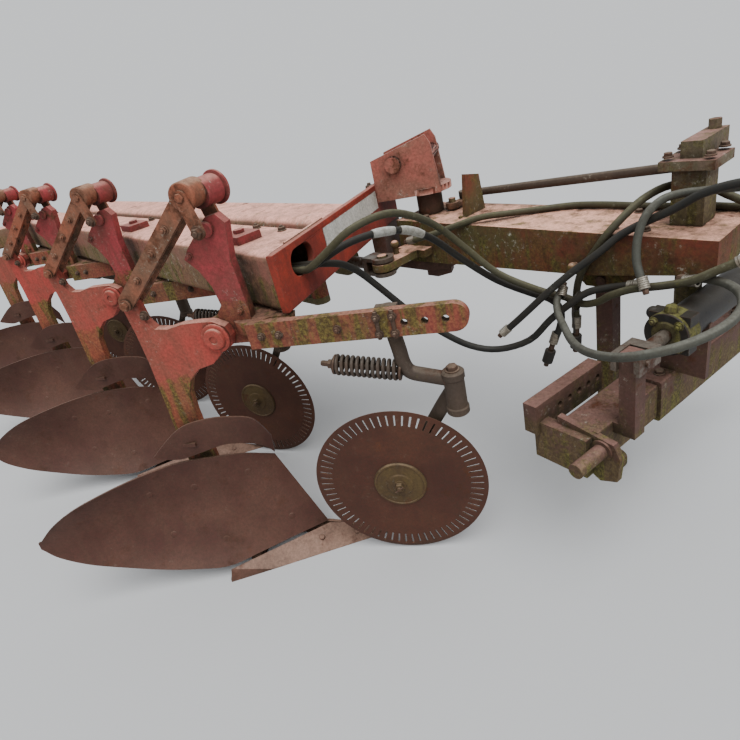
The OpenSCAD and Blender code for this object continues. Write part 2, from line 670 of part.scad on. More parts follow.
module bracket(k) {
    pin = [-king_x, king_y];
    back = -std_side + std_t / 2 + 3;
    bar_z0 = beam_z - 4 - bar_h;
    color("firebrick") at_bottom(k) union() {
        translate([pin[0], pin[1], arm_z + 4]) cylinder(beam_top - arm_z - 4 + 2, king_r, king_r);
        translate([pin[0], pin[1], beam_top + seat]) rotate([0, 0, -beam_angle]) {
            translate([-52, -38, 0]) cube([104, 76, 22]);
            cylinder(32, 16, 16, $fn = 6);
        }
        link_lever(pin, 90) translate([0, 0, arm_z - 3]) strap(pin, [-190, -80], 130, arm_t + 1);
        difference() {
            upright(BRACKET, back, back + 30);
            rod_y(-287, pivot_z, pivot_r + fit, -400, 400);
        }
        // Perforated bar out to the coulter
        translate([0, -std_side - 27 + bar_t, 0]) rotate([90, 0, 0]) linear_extrude(bar_t) difference() {
            union() {
                translate([-190, bar_z0]) square([bar_tip - bar_h / 2 + 190, bar_h]);
                translate([bar_tip - bar_h / 2, bar_z0 + bar_h / 2]) circle(bar_h / 2);
            }
            for (x = [230, 280, 330]) translate([x, bar_z0 + bar_h / 2]) circle(bar_hole_r);
        }
        translate([-165, -std_side - 25, bar_z0 + 3]) cube([88, 58, bar_h - 8]);
    }
}
module standard(k) {
    color("crimson") at_bottom(k) union() {
        upright(STANDARD, -std_side - std_t / 2, -std_side + std_t / 2);
        rod_y(-287, pivot_z, pivot_r, -std_side - std_t / 2 - 14, -std_side + std_t / 2 + 3 + 30 + 12);
        rod_y(-287, pivot_z, 34, -std_side - std_t / 2 - 8, -std_side);
    }
}
module toggle(k) {
    t0 = [-231, 1162];
    t1 = [-512, 925];
    lean = atan2(t1[1] - t0[1], t1[0] - t0[0]);
    color("peru") at_bottom(k) union() {
        for (y = [-std_side - std_t / 2 - 14, -std_side + std_t / 2 + 2])
            translate([t0[0], y + 12, t0[1]]) rotate([90, 0, 0]) rotate([0, 0, lean])
                strap([0, 0], [norm(t1 - t0), 0], 44, 12);
        // Pins at the horn and at the knuckle
        rod_y(t1[0] + 3, t1[1] - 4, 13, -std_side - std_t / 2 - 20, -std_side - std_t / 2 - seat);
        rod_y(t1[0] + 3, t1[1] - 4, 13, -std_side + std_t / 2 + seat, -std_side + std_t / 2 + 20);
        rod_y(t0[0], t0[1], 34, -std_side - std_t / 2 - 20, -std_side + std_t / 2 + 24);
        // Spring housing that leads to the left from the knuckle
        translate([t0[0] + 4, -std_side + 30, t0[1] - 8]) rotate([0, 0, -12]) {
            rod_y(0, 0, 36, 0, 65);
            rod_y(0, 0, 43, 65, 75);
        }
        // Short link down to the bracket's top
        translate([t0[0], -std_side + std_t / 2 + 3 + 30 + seat + 10, t0[1]]) rotate([90, 0, 0])
            rotate([0, 0, atan2(1078 - t0[1], -215 - t0[0])]) strap([0, 0], [86, 0], 40, 10);
        rod_y(t0[0], t0[1], 20, -std_side + 30, -std_side + std_t / 2 + 3 + 30 + 10);
    }
}
module moldboard(k) {
    front = [for (m = MOLD) [for (j = [0:6]) mold_point(m, j / 6)]];
    back = [for (i = [0:len(MOLD) - 1]) [for (p = front[i]) p + mold_t * [MOLD[i][7], MOLD[i][8], 0]]];
    face_y = -std_side - std_t / 2 - seat;
    trash = [for (s = TRASH) [[s[0], s[1], s[2]], [s[3], s[4], s[5]]]];
    color("sienna") at_bottom(k) {
        union() {
            sheet(front, back);
            // Frog: two webs and a plate that bolt the moldboard to the standard
            for (t = [0.25, 0.6]) web(t, face_y - 6);
            translate([-560, face_y - 12, 62]) cube([120, 12, 230]);
            translate([-560, face_y - 12, 62]) cube([120, share_side - 12 - seat - face_y + 12, 34]);
        }
        union() {
            sheet(trash, [for (row = trash) [for (p = row) p + [-2, 6, 0]]]);
            translate([-500, -204, 474]) cube([44, 204 + face_y, 12]);
        }
    }
}
module share(k) {
    front = [for (s = SHARE) [[s[0], s[1], s[2]], [s[3], s[4], s[5]]]];
    back = [for (row = front) [[row[0][0] - 8, row[0][1] + 10, 0], [row[1][0] - 1, row[1][1] + 1, max(0.5, row[1][2] - 9)]]];
    color("sienna") at_bottom(k) union() {
        sheet(front, back);
        // Landside with its foot
        upright([[-120, 2], [-780, 2], [-780, 100], [-240, 100], [-214, 43], [-150, 36]], share_side - 12, share_side);
        translate([-330, share_side - 26, 2]) cube([180, 18, 26]);
        translate([-420, -215, 4]) cube([30, 215 + share_side - 8, 22]);
    }
}
// The coulter's caster axis, and everything that turns about it as one
caster_x = 318;
module caster(k) {
    at_bottom(k) translate([caster_x, -120, 0]) rotate([0, 0, CASTER[k]])
        translate([-caster_x, 120, 0]) children();
}
hub_x = 115;
hub_y = -112;
hub_z = 262;
module coulter_arm(k) {
    turns = 12;
    color("dimgray") union() {
        at_bottom(k) {
            // Stem clamped on the perforated bar, and the bent pipe
            hull() {
                translate([180, -118, beam_z - 10]) cylinder(2, 18, 18);
                translate([200, -118, 640]) cylinder(2, 18, 18);
            }
            translate([200, -118, 632]) sphere(pipe_r + 2);
            translate([200, -118, 632]) rotate([0, 16, 0]) rod_x(pipe_r, 0, 122);
            translate([156, -std_side - 27 + bar_t + seat, beam_z - 4 - bar_h - 6]) cube([56, 22, bar_h + 6]);
            // Cushion spring on its rod
            translate([200, -118, 634]) rotate([0, 190.5, 0]) {
                rod_x(8, 0, 232);
                rod_x(spring_r - 2, 12, 18);
                rod_x(spring_r - 2, 190, 198);
                for (i = [0:turns - 1]) translate([26 + i * 14, 0, 0]) rotate([0, 90, 0])
                    rotate_extrude($fn = 24) translate([spring_r - spring_wire, 0]) circle(spring_wire, $fn = 8);
                rod_x(spring_r - 2 * spring_wire + 1, 18, 190);
            }
        }
        caster(k) {
            translate([caster_x, -120, 500]) cylinder(128, 30, 30);
            hull() {
                translate([caster_x - 10, -96, 560]) rod_y(0, 0, 24, -10, 24);
                translate([hub_x, 0, hub_z]) rod_y(0, 0, 26, hub_y + 36, hub_y + 52);
            }
            translate([0, 0, 0]) rod_y(hub_x, hub_z, 16, hub_y - 20, hub_y + 45);
        }
    }
}
module coulter(k) {
    color("chocolate") caster(k) difference() {
        union() {
            rod_y(hub_x, hub_z, disc_r, hub_y - disc_t / 2, hub_y + disc_t / 2);
            rod_y(hub_x, hub_z, 78, hub_y - 14, hub_y + 10);
            rod_y(hub_x, hub_z, 36, hub_y - 34, hub_y + 26);
        }
        rod_y(hub_x, hub_z, 16 + fit, hub_y - 21, hub_y + 60);
    }
}
module tail_arm() {
    start = [-last * body_gap - 250, 27];
    post = [-last * body_gap - tail_back, -tail_side];
    run = norm(post - start);
    color("firebrick") beam_frame() difference() {
        union() {
            translate([start[0], start[1], post_low + 75])
                rotate([0, 0, atan2(post[1] - start[1], post[0] - start[0])]) box_tube(run - 40, 130, 116, 12, 9);
            translate([post[0], post[1], post_low]) cylinder(post_high - post_low, 62, 62);
            translate([start[0] - 120, -beam_near - 16, beam_z - 12]) cube([290, 16, beam_h + 24]);
        }
        translate([-beam_len - 1, -beam_near, 0]) cube([3 * body_gap, beam_w, 2000]);
        translate([post[0], post[1], 0]) cylinder(2000, 34 + fit, 34 + fit);
    }
}
module tail_rim() {
    color("firebrick") caster_frame() translate([-tail_reach, 0, tyre_r]) rotate([90, 0, 0])
        rotate_extrude($fn = 64) polygon([[20 + fit, -34], [44, -34], [44, -8],
            [rim_r - 40, -8], [rim_r - 20, -64], [rim_r - seat, -74], [rim_r - seat, 74], [rim_r - 20, 64],
            [rim_r - 34, 8], [44, 8], [44, 34], [20 + fit, 34]]);
}
module tail_tyre() {
    color("black") caster_frame() translate([-tail_reach, 0, tyre_r]) rotate([90, 0, 0])
        rotate_extrude($fn = 96) polygon([[rim_r, -68], [rim_r + 20, -tyre_w / 2],
            [tyre_r - 46, -tyre_w / 2], [tyre_r - 10, -tyre_w / 2 + 22], [tyre_r, -40], [tyre_r, 40],
            [tyre_r - 10, tyre_w / 2 - 22], [tyre_r - 46, tyre_w / 2], [rim_r + 20, tyre_w / 2], [rim_r, 68]]);
}

module ahead_of_plate(d) {
    plate_frame() translate([-600, d - 1500, -10]) cube([plate_len + 1200, 1500, 2500]);
}
module behind_plate(d) {
    plate_frame() translate([-600, d, -10]) cube([plate_len + 1200, 1500, 2500]);
}
module web(t, y1) {
    top = [for (i = [2:4]) let (m = MOLD[i], p = mold_point(m, t) + mold_t / 2 * [m[7], m[8], 0])
        [p, [p[0], y1, p[2]]]];
    sheet([for (r = top) [r[0] + [0, 0, 7], r[1] + [0, 0, 7]]], [for (r = top) [r[0] - [0, 0, 7], r[1] - [0, 0, 7]]]);
}
module caster_frame() {
    beam_frame() translate([-last * body_gap - tail_back, -tail_side, 0]) rotate([0, 0, beam_angle]) children();
}
module tail_head() {
    color("firebrick") caster_frame() link_lever([0, 0], 72) {
        translate([0, 0, arm_z]) cylinder(post_high - arm_z + 26, 34, 34);
        translate([0, 0, post_high + seat]) cylinder(26, 52, 52, $fn = 6);
        translate([0, 0, arm_z]) cylinder(arm_t, 60, 60);
        translate([-100, -56, tail_pivot_z - 30]) cube([160, 136, arm_z - tail_pivot_z + 31]);
        // Mast for the lift cylinder
        upright([[-112, tail_pivot_z - 20], [-90, arm_z], [-98, mast_z - 30], [-120, mast_z + 30],
            [-168, mast_z + 30], [-180, mast_z - 20], [-150, arm_z], [-136, tail_pivot_z - 20]], 56, 80);
        rod_y(-150, mast_z, 14, 56, 206);
        rod_y(tail_pivot_x, tail_pivot_z, 22, 56, 158);
        rod_y(tail_pivot_x, tail_pivot_z, 34, 152, 162);
    }
}
module wheel_arm() {
    lean = atan2(tyre_r - tail_pivot_z, -tail_reach - tail_pivot_x);
    run = norm([tyre_r - tail_pivot_z, -tail_reach - tail_pivot_x]);
    color("firebrick") caster_frame() difference() {
        union() {
            translate([tail_pivot_x, 140, tail_pivot_z]) rotate([90, 0, 0]) rotate([0, 0, lean])
                strap([0, 0], [run, 0], 84, 28);
            rod_y(tail_pivot_x, tail_pivot_z, 45, 84, 150);
            upright([[-160, 500], [-300, 420], [-282, 570], [-250, 590], [-215, 580]], 112, 140);
            rod_y(-250, 560, 14, 112, 200);
            rod_y(-tail_reach, tyre_r, 20, -44, 140);
            rod_y(-tail_reach, tyre_r, 30, 36, 112);
        }
        rod_y(tail_pivot_x, tail_pivot_z, 22 + fit, 60, 180);
    }
}
module tail_barrel() {
    color("black") caster_frame() translate([-150, 172, mast_z]) rotate([0, lift_lean, 0]) difference() {
        union() {
            rod_x(33, 30, 330);
            rod_x(40, 300, 330);
            rod_y(0, 0, 26, -12, 12);
            translate([0, -12, -20]) cube([60, 24, 40]);
        }
        rod_x(16 + fit, 50, 400);
        rod_y(0, 0, 14 + fit, -50, 50);
    }
}
module tail_piston() {
    run = norm([-250 + 150, 560 - mast_z]);
    color("silver") caster_frame() translate([-150, 172, mast_z]) rotate([0, lift_lean, 0]) difference() {
        union() {
            rod_x(16, 150, run - 20);
            rod_y(run, 0, 30, -12, 12);
        }
        rod_y(run, 0, 14 + lift_slack, -50, 50);
    }
}
module link_lever(pin, w) {
    lever = [-link_back * cos(beam_angle) + link_side * sin(beam_angle),
        link_back * sin(beam_angle) + link_side * cos(beam_angle)];
    difference() {
        union() {
            translate([0, 0, arm_z]) strap(pin, pin + lever, w, arm_t);
            translate([pin[0] + lever[0], pin[1] + lever[1], link_z + link_t + seat])
                cylinder(arm_z - link_z - link_t, 30, 30);
            children();
        }
        translate([pin[0] + lever[0], pin[1] + lever[1], 0]) cylinder(2000, link_pin_r + fit, link_pin_r + fit);
    }
}
// A hose along a route, with its steel ends, swept as one closed skin
module hose(route, start, finish, tint) {
    path = smooth(route, 3);
    m = len(path) - 1;
    first = unit(route[0] - route[1]);
    final = heading(route);
    way = [for (i = [0:m]) i == 0 ? -first : i == m ? final : unit(path[i + 1] - path[i - 1])];
    rings = concat(
        [for (i = [len(start) - 1:-1:0]) for (e = [1, 0])
            ring(path[0] + reach(start, i + e) * first, -first, start[i][1])],
        [for (i = [0:m]) ring(path[i], way[i], hose_r)],
        [for (i = [0:len(finish) - 1]) for (e = [0, 1])
            ring(path[m] + reach(finish, i + e) * final, final, finish[i][1])]);
    n = len(rings);
    skin = [for (i = [0:n - 2]) for (j = [0:hose_sides - 1])
        let (k = (j + 1) % hose_sides, a = i * hose_sides, b = a + hose_sides)
        for (f = [[a + j, a + k, b + k], [a + j, b + k, b + j]]) f];
    front = [for (j = [hose_sides - 1:-1:0]) j];
    rear = [for (j = [0:hose_sides - 1]) (n - 1) * hose_sides + j];
    color(tint) tongue_frame() polyhedron(flat(rings), concat([front], skin, [rear]), convexity = 10);
}

main_beam();
brace_tube();
end_plate();
headstock();
hinge_casting();
width_barrel();
width_rod();
tongue();
bell_crank();
steer_rod();
hitch_post();
hitch_tube();
hitch_barrel();
hitch_bar();
hitch_rod();
stand_leg();
parallel_bar();
bracket(0);  // bracket_1
standard(0);  // standard_1
toggle(0);  // toggle_1
moldboard(0);  // moldboard_1
share(0);  // share_1
coulter_arm(0);  // coulter_arm_1
coulter(0);  // coulter_1
bracket(1);  // bracket_2
standard(1);  // standard_2
toggle(1);  // toggle_2
moldboard(1);  // moldboard_2
share(1);  // share_2
coulter_arm(1);  // coulter_arm_2
coulter(1);  // coulter_2
bracket(2);  // bracket_3
standard(2);  // standard_3
toggle(2);  // toggle_3
moldboard(2);  // moldboard_3
share(2);  // share_3
coulter_arm(2);  // coulter_arm_3
coulter(2);  // coulter_3
bracket(3);  // bracket_4
standard(3);  // standard_4
toggle(3);  // toggle_4
moldboard(3);  // moldboard_4
share(3);  // share_4
coulter_arm(3);  // coulter_arm_4
coulter(3);  // coulter_4
tail_arm();
tail_head();
wheel_arm();
tail_barrel();
tail_piston();
tail_rim();
tail_tyre();
hose(ROUTE_UPPER, PLAIN, COUPLED, "black");  // hose_upper
hose(ROUTE_MIDDLE, PLAIN, COUPLED, "black");  // hose_middle
hose(ROUTE_LOWER, PLAIN, JOINED, "black");  // hose_lower
hose(ROUTE_LOOP, JOINED, SCREWED, "dimgray");  // hose_loop
hose(ROUTE_TOP, SCREWED, COUPLED, "olive");  // hose_top
hose(ROUTE_FEED, SCREWED, COUPLED, "darkslategray");  // hose_feed
hose(ROUTE_HUNG, COUPLED, COUPLED, "darkolivegreen");  // hose_hung
hose(ROUTE_RETURN, COUPLED, SCREWED, "gray");  // hose_return
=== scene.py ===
"""A weathered red semi-mounted moldboard plough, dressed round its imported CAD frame."""
import logging
import math
from dataclasses import dataclass, field
from enum import Enum

import bpy
from mathutils import Matrix, Vector


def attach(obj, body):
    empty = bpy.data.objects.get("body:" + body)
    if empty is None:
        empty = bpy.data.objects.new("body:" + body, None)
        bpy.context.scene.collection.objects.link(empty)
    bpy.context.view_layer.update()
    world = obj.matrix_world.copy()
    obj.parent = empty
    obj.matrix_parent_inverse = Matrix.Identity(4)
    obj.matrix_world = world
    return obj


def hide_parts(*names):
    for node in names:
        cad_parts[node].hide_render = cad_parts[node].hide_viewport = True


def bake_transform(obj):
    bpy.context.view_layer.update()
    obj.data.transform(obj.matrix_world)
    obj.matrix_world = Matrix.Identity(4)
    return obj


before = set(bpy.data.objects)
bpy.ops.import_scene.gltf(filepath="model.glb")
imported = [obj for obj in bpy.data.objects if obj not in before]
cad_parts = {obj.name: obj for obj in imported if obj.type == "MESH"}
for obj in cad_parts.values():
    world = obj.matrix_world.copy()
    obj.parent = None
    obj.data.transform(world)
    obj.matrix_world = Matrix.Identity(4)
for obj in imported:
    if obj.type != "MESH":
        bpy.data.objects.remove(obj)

LOG = logging.getLogger("plough")
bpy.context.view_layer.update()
MM = 0.001
Socket = bpy.types.NodeSocket
Colour = tuple[float, float, float]
Row = tuple[float, ...]

# Sizes that several pieces share: millimetres and degrees, then metres
BOTTOMS = 4
STEP_BACK = 699.70
STEP_ACROSS = 470.18
BEAM_STEP = 843
CASTER = (4.0, -8.0, 3.0, -4.0)
CASTER_POST = (318, -120)
COULTER_HUB = (115.0, -112.0, 262.0)
STANDARD_FACE = -149.0
EDGE_WIDTH = 0.004
BUMP_DEPTH = 0.004
NODE_BEVEL = 0.0025
WELD_REACH = 0.00002


def shift(x: float, y: float, z: float = 0.0) -> Matrix:
    """A move by x, y and z millimetres."""
    return Matrix.Translation(Vector((x, y, z)) * MM)


def turn(degrees: float, axis: str = "Z") -> Matrix:
    """A turn about one of the main axes."""
    return Matrix.Rotation(math.radians(degrees), 4, axis)


PLACE = shift(1313, -677.25)
BEAM = PLACE @ shift(-255, 81) @ turn(-33.9)
TONGUE = BEAM @ shift(60, 720)
PLATE = PLACE @ shift(-72, -126) @ turn(81.8)
HITCH = TONGUE @ shift(855, 15) @ turn(83.9)
TAIL = BEAM @ shift(-3005, -611) @ turn(33.9)


def bottom_frame(k: int) -> Matrix:
    """The frame of bottom k, counted from 0 at the front."""
    return PLACE @ shift(-k * STEP_BACK, k * STEP_ACROSS)


def coulter_frame(k: int) -> Matrix:
    """The frame of coulter k, turned in its caster."""
    x, y = CASTER_POST
    return bottom_frame(k) @ shift(x, y) @ turn(CASTER[k]) @ shift(-x, -y)


def out_y(x: float, y: float, z: float, sign: float = -1.0) -> Matrix:
    """A frame whose Z points along Y, by sign, with its origin at x, y, z."""
    return shift(x, y, z) @ turn(90 if sign < 0 else -90, "X")


def facing(point: Vector, direction: Vector) -> Matrix:
    """A frame at a point in millimetres, with its Z along a direction."""
    return Matrix.Translation(point * MM) @ direction.to_track_quat("Z", "Y").to_matrix().to_4x4()


def dense(rows: tuple[Row, ...], steps: int) -> list[Vector]:
    """The points of a smooth curve through rows of three numbers."""
    return [Vector(p) for p in blend_rows(list(rows), steps)]


def blend_rows(rows: list[Row], steps: int) -> list[list[float]]:
    """Passes a smooth curve through rows of numbers.

    Args:
        rows: the stations, each with the same count of numbers.
        steps: how many parts each gap between two stations gets.
    Returns:
        The denser list of rows, which keeps the first and last one.
    """
    out = []
    last = len(rows) - 1
    for i in range(last):
        a, b = rows[max(i - 1, 0)], rows[i]
        c, d = rows[i + 1], rows[min(i + 2, last)]
        for s in range(steps):
            t = s / steps
            out.append([
                0.5 * (2 * q + (r - p) * t + (2 * p - 5 * q + 4 * r - w) * t * t
                       + (3 * q - p - 3 * r + w) * t ** 3)
                for p, q, r, w in zip(a, b, c, d)])
    out.append(list(rows[last]))
    return out


# Node groups
class Tree:
    """A node tree with short ways to add and join nodes."""

    def __init__(self, tree: bpy.types.NodeTree) -> None:
        """Keeps the tree."""
        self.tree = tree

    def add(self, kind: str, **values: object) -> bpy.types.Node:
        """Adds a node; names with a capital set sockets, others set properties.

        Args:
            kind: Blender's name of the node's type.
            **values: properties, or sockets with blanks written as underscores.
        Returns:
            The new node.
        """
        node = self.tree.nodes.new(kind)
        for name, value in values.items():
            if name[0].isupper():
                self.feed(node.inputs[name.replace("_", " ")], value)
            else:
                setattr(node, name, value)
        return node

    def feed(self, socket: Socket, value: object) -> None:
        """Joins another socket to this one, or sets its value.

        Args:
            socket: the socket to feed.
            value: another node's output, or a plain value.
        """
        if isinstance(value, Socket):
            self.tree.links.new(value, socket)
        else:
            socket.default_value = value

    def maths(self, operation: str, a: object, b: object = 0.0) -> Socket:
        """One step of arithmetic, clamped to between 0 and 1.

        Args:
            operation: Blender's name of it.
            a: the first value or socket.
            b: the second.
        Returns:
            The result's socket.
        """
        node = self.tree.nodes.new("ShaderNodeMath")
        node.operation = operation
        node.use_clamp = True
        self.feed(node.inputs[0], a)
        self.feed(node.inputs[1], b)
        return node.outputs[0]

    def times(self, a: object, b: object) -> Socket:
        """The product of two values."""
        return self.maths("MULTIPLY", a, b)

    def rest(self, a: object) -> Socket:
        """What a value leaves of 1."""
        return self.maths("SUBTRACT", 1.0, a)

    def noise(self, vector: object, scale: object, detail: float = 4.0,
              roughness: float = 0.6) -> Socket:
        """A noise value over the surface.

        Args:
            vector: where on the surface.
            scale: how many blotches a metre holds.
            detail: how many finer layers it has.
            roughness: how strong these are.
        Returns:
            The value's socket.
        """
        node = self.add("ShaderNodeTexNoise", Vector=vector, Scale=scale, Detail=detail,
                        Roughness=roughness)
        return node.outputs["Fac"]

    def step(self, value: object, low: object, high: object) -> Socket:
        """A soft step of a value.

        Args:
            value: the value or socket.
            low: where the step is still 0.
            high: where it has reached 1.
        Returns:
            The result's socket.
        """
        node = self.add("ShaderNodeMapRange", interpolation_type="SMOOTHSTEP")
        for index, item in ((0, value), (1, low), (2, high)):
            self.feed(node.inputs[index], item)
        return node.outputs[0]

    def mix(self, a: object, b: object, fac: object) -> Socket:
        """A mix of two colours.

        Args:
            a: the first colour, or its socket.
            b: the second.
            fac: how much of the second there is, from 0 to 1.
        Returns:
            The mixed colour's socket.
        """
        node = self.tree.nodes.new("ShaderNodeMix")
        node.data_type = "RGBA"
        self.feed(node.inputs[0], fac)
        self.feed(node.inputs[6], a if isinstance(a, Socket) else (*a, 1.0))
        self.feed(node.inputs[7], b if isinstance(b, Socket) else (*b, 1.0))
        return node.outputs[2]

    def cover(self, under: object, over: object, mask: object, share: float) -> Socket:
        """Lays a colour over another where a mask says, at a share of its strength."""
        return self.mix(under, over, self.times(mask, share))


def new_group(name: str, inputs: dict[str, float], outputs: list[str]) -> tuple[Tree, dict, dict]:
    """Starts a node group whose sockets are all plain values.

    Args:
        name: the group's name.
        inputs: each input's name and first value.
        outputs: the outputs' names.
    Returns:
        The tree, the sockets that come in, and the sockets to feed.
    """
    tree = bpy.data.node_groups.new(name, "ShaderNodeTree")
    for key, value in inputs.items():
        socket = tree.interface.new_socket(key, in_out="INPUT", socket_type="NodeSocketFloat")
        socket.default_value = value
    for key in outputs:
        tree.interface.new_socket(key, in_out="OUTPUT", socket_type="NodeSocketFloat")
    entry = tree.nodes.new("NodeGroupInput")
    leave = tree.nodes.new("NodeGroupOutput")
    return (Tree(tree), {key: entry.outputs[key] for key in inputs},
            {key: leave.inputs[key] for key in outputs})


def weather_group() -> bpy.types.NodeTree:
    """Rust, moss, lichen, streaks, dirt, mottling, and tops that are partly sun-faded and partly painted
    lighter as if lit from above, as masks.

    Returns:
        The node group.
    """
    tree, use, out = new_group(
        "weather", {"Rust": 0.3, "Moss": 0.3, "Lichen": 0.2, "Damp Top": 0.0, "Damp": 0.0},
        ["Rust Mask", "Moss Mask", "Lichen Mask", "Faded And Lit Top Mask", "Tone", "Streak", "Dirt", "Mottle"])
    here = tree.add("ShaderNodeTexCoord").outputs["Object"]
    normal = tree.add("ShaderNodeNewGeometry").outputs["Normal"]
    up = tree.add("ShaderNodeSeparateXYZ", Vector=normal).outputs["Z"]
    # Up-facing mask: partly sun-faded paint, partly painted light where the sky lights the tops.
    top = tree.step(up, 0.45, 0.85)
    long = tree.add("ShaderNodeMapping", Vector=here, Scale=(26.0, 26.0, 2.2)).outputs[0]
    streak = tree.step(tree.noise(long, 1.0, 5.0), 0.47, 0.66)
    tone = tree.noise(here, 4.0, 8.0, 0.65)
    patches = tree.noise(here, 11.0, 12.0, 0.72)
    start = tree.maths("SUBTRACT", 0.83, tree.times(use["Rust"], 0.6))
    rust = tree.step(patches, start, tree.maths("ADD", start, 0.13))
    specks = tree.step(tree.noise(here, 90.0, 6.0, 0.7), 0.66, 0.72)
    rust = tree.maths("MAXIMUM", rust, tree.times(specks, use["Rust"]))
    clumps = tree.noise(here, 19.0, 10.0, 0.75)
    height = tree.add("ShaderNodeSeparateXYZ", Vector=here).outputs["Z"]
    below = tree.step(tree.maths("SUBTRACT", use["Damp Top"], height), 0.0, 0.12)
    growth = tree.maths("ADD", use["Moss"], tree.times(below, use["Damp"]))
    low = tree.maths("SUBTRACT", 0.84, tree.times(growth, 0.6))
    moss = tree.step(clumps, low, tree.maths("ADD", low, 0.2))
    moss = tree.times(moss, tree.maths("ADD", streak, 0.45))
    crust = tree.noise(here, 62.0, 12.0, 0.8)
    spot = tree.step(crust, 0.545, 0.64)
    where = tree.step(tree.noise(here, 8.0, 8.0, 0.75), 0.48, 0.63)
    lichen = tree.times(tree.times(spot, where), use["Lichen"])
    film = tree.step(tree.noise(here, 6.5, 12.0, 0.78), 0.47, 0.66)
    runs = tree.times(streak, tree.rest(top))
    dirt = tree.maths("MAXIMUM", tree.times(film, 0.8), tree.times(runs, 0.55))
    mottle = tree.step(tree.noise(here, 120.0, 8.0, 0.8), 0.36, 0.64)
    for key, value in zip(out, (rust, moss, lichen, top, tone, streak, dirt, mottle)):
        tree.feed(out[key], value)
    return tree.tree


def edge_group() -> bpy.types.NodeTree:
    """Worn edges, where a rounded copy of the surface would turn, and painted shade in the corners, from
    ambient occlusion.

    Returns:
        The node group.
    """
    tree, use, out = new_group("edge_wear_and_shade", {"Width": EDGE_WIDTH}, ["Edge", "Painted Shade"])
    normal = tree.add("ShaderNodeNewGeometry").outputs["Normal"]
    rounded = tree.add("ShaderNodeBevel", samples=4, Radius=use["Width"]).outputs[0]
    dot = tree.tree.nodes.new("ShaderNodeVectorMath")
    dot.operation = "DOT_PRODUCT"
    tree.feed(dot.inputs[0], normal)
    tree.feed(dot.inputs[1], rounded)
    bare = tree.rest(tree.step(dot.outputs["Value"], 0.82, 0.99))
    here = tree.add("ShaderNodeTexCoord").outputs["Object"]
    broken = tree.step(tree.noise(here, 40.0, 6.0), 0.38, 0.58)
    tree.feed(out["Edge"], tree.times(bare, broken))
    # Painted shade: ambient occlusion marks corners, creases and gaps between parts where shade falls.
    shut = tree.add("ShaderNodeAmbientOcclusion", samples=6, Distance=0.09).outputs["AO"]
    corner = tree.rest(tree.step(shut, 0.35, 0.95))
    tree.feed(out["Painted Shade"], tree.times(corner, tree.step(broken, -0.6, 0.9)))
    return tree.tree


def pitting_group() -> bpy.types.NodeTree:
    """Height of flaking paint, pitted rust and fine cast grain.

    Returns:
        The node group.
    """
    tree, use, out = new_group("pitting", {"Coarse": 0.5, "Fine": 0.5}, ["Height"])
    here = tree.add("ShaderNodeTexCoord").outputs["Object"]
    coarse = tree.times(tree.noise(here, 45.0, 8.0, 0.7), use["Coarse"])
    fine = tree.times(tree.noise(here, 380.0, 4.0, 0.6), use["Fine"])
    tree.feed(out["Height"], tree.maths("ADD", coarse, fine))
    return tree.tree


WEATHER = weather_group()
EDGE = edge_group()
PITTING = pitting_group()
MOSS_DEEP = (0.035, 0.034, 0.01)
MOSS_BRIGHT = (0.15, 0.14, 0.032)
LICHEN = (0.5, 0.49, 0.4)


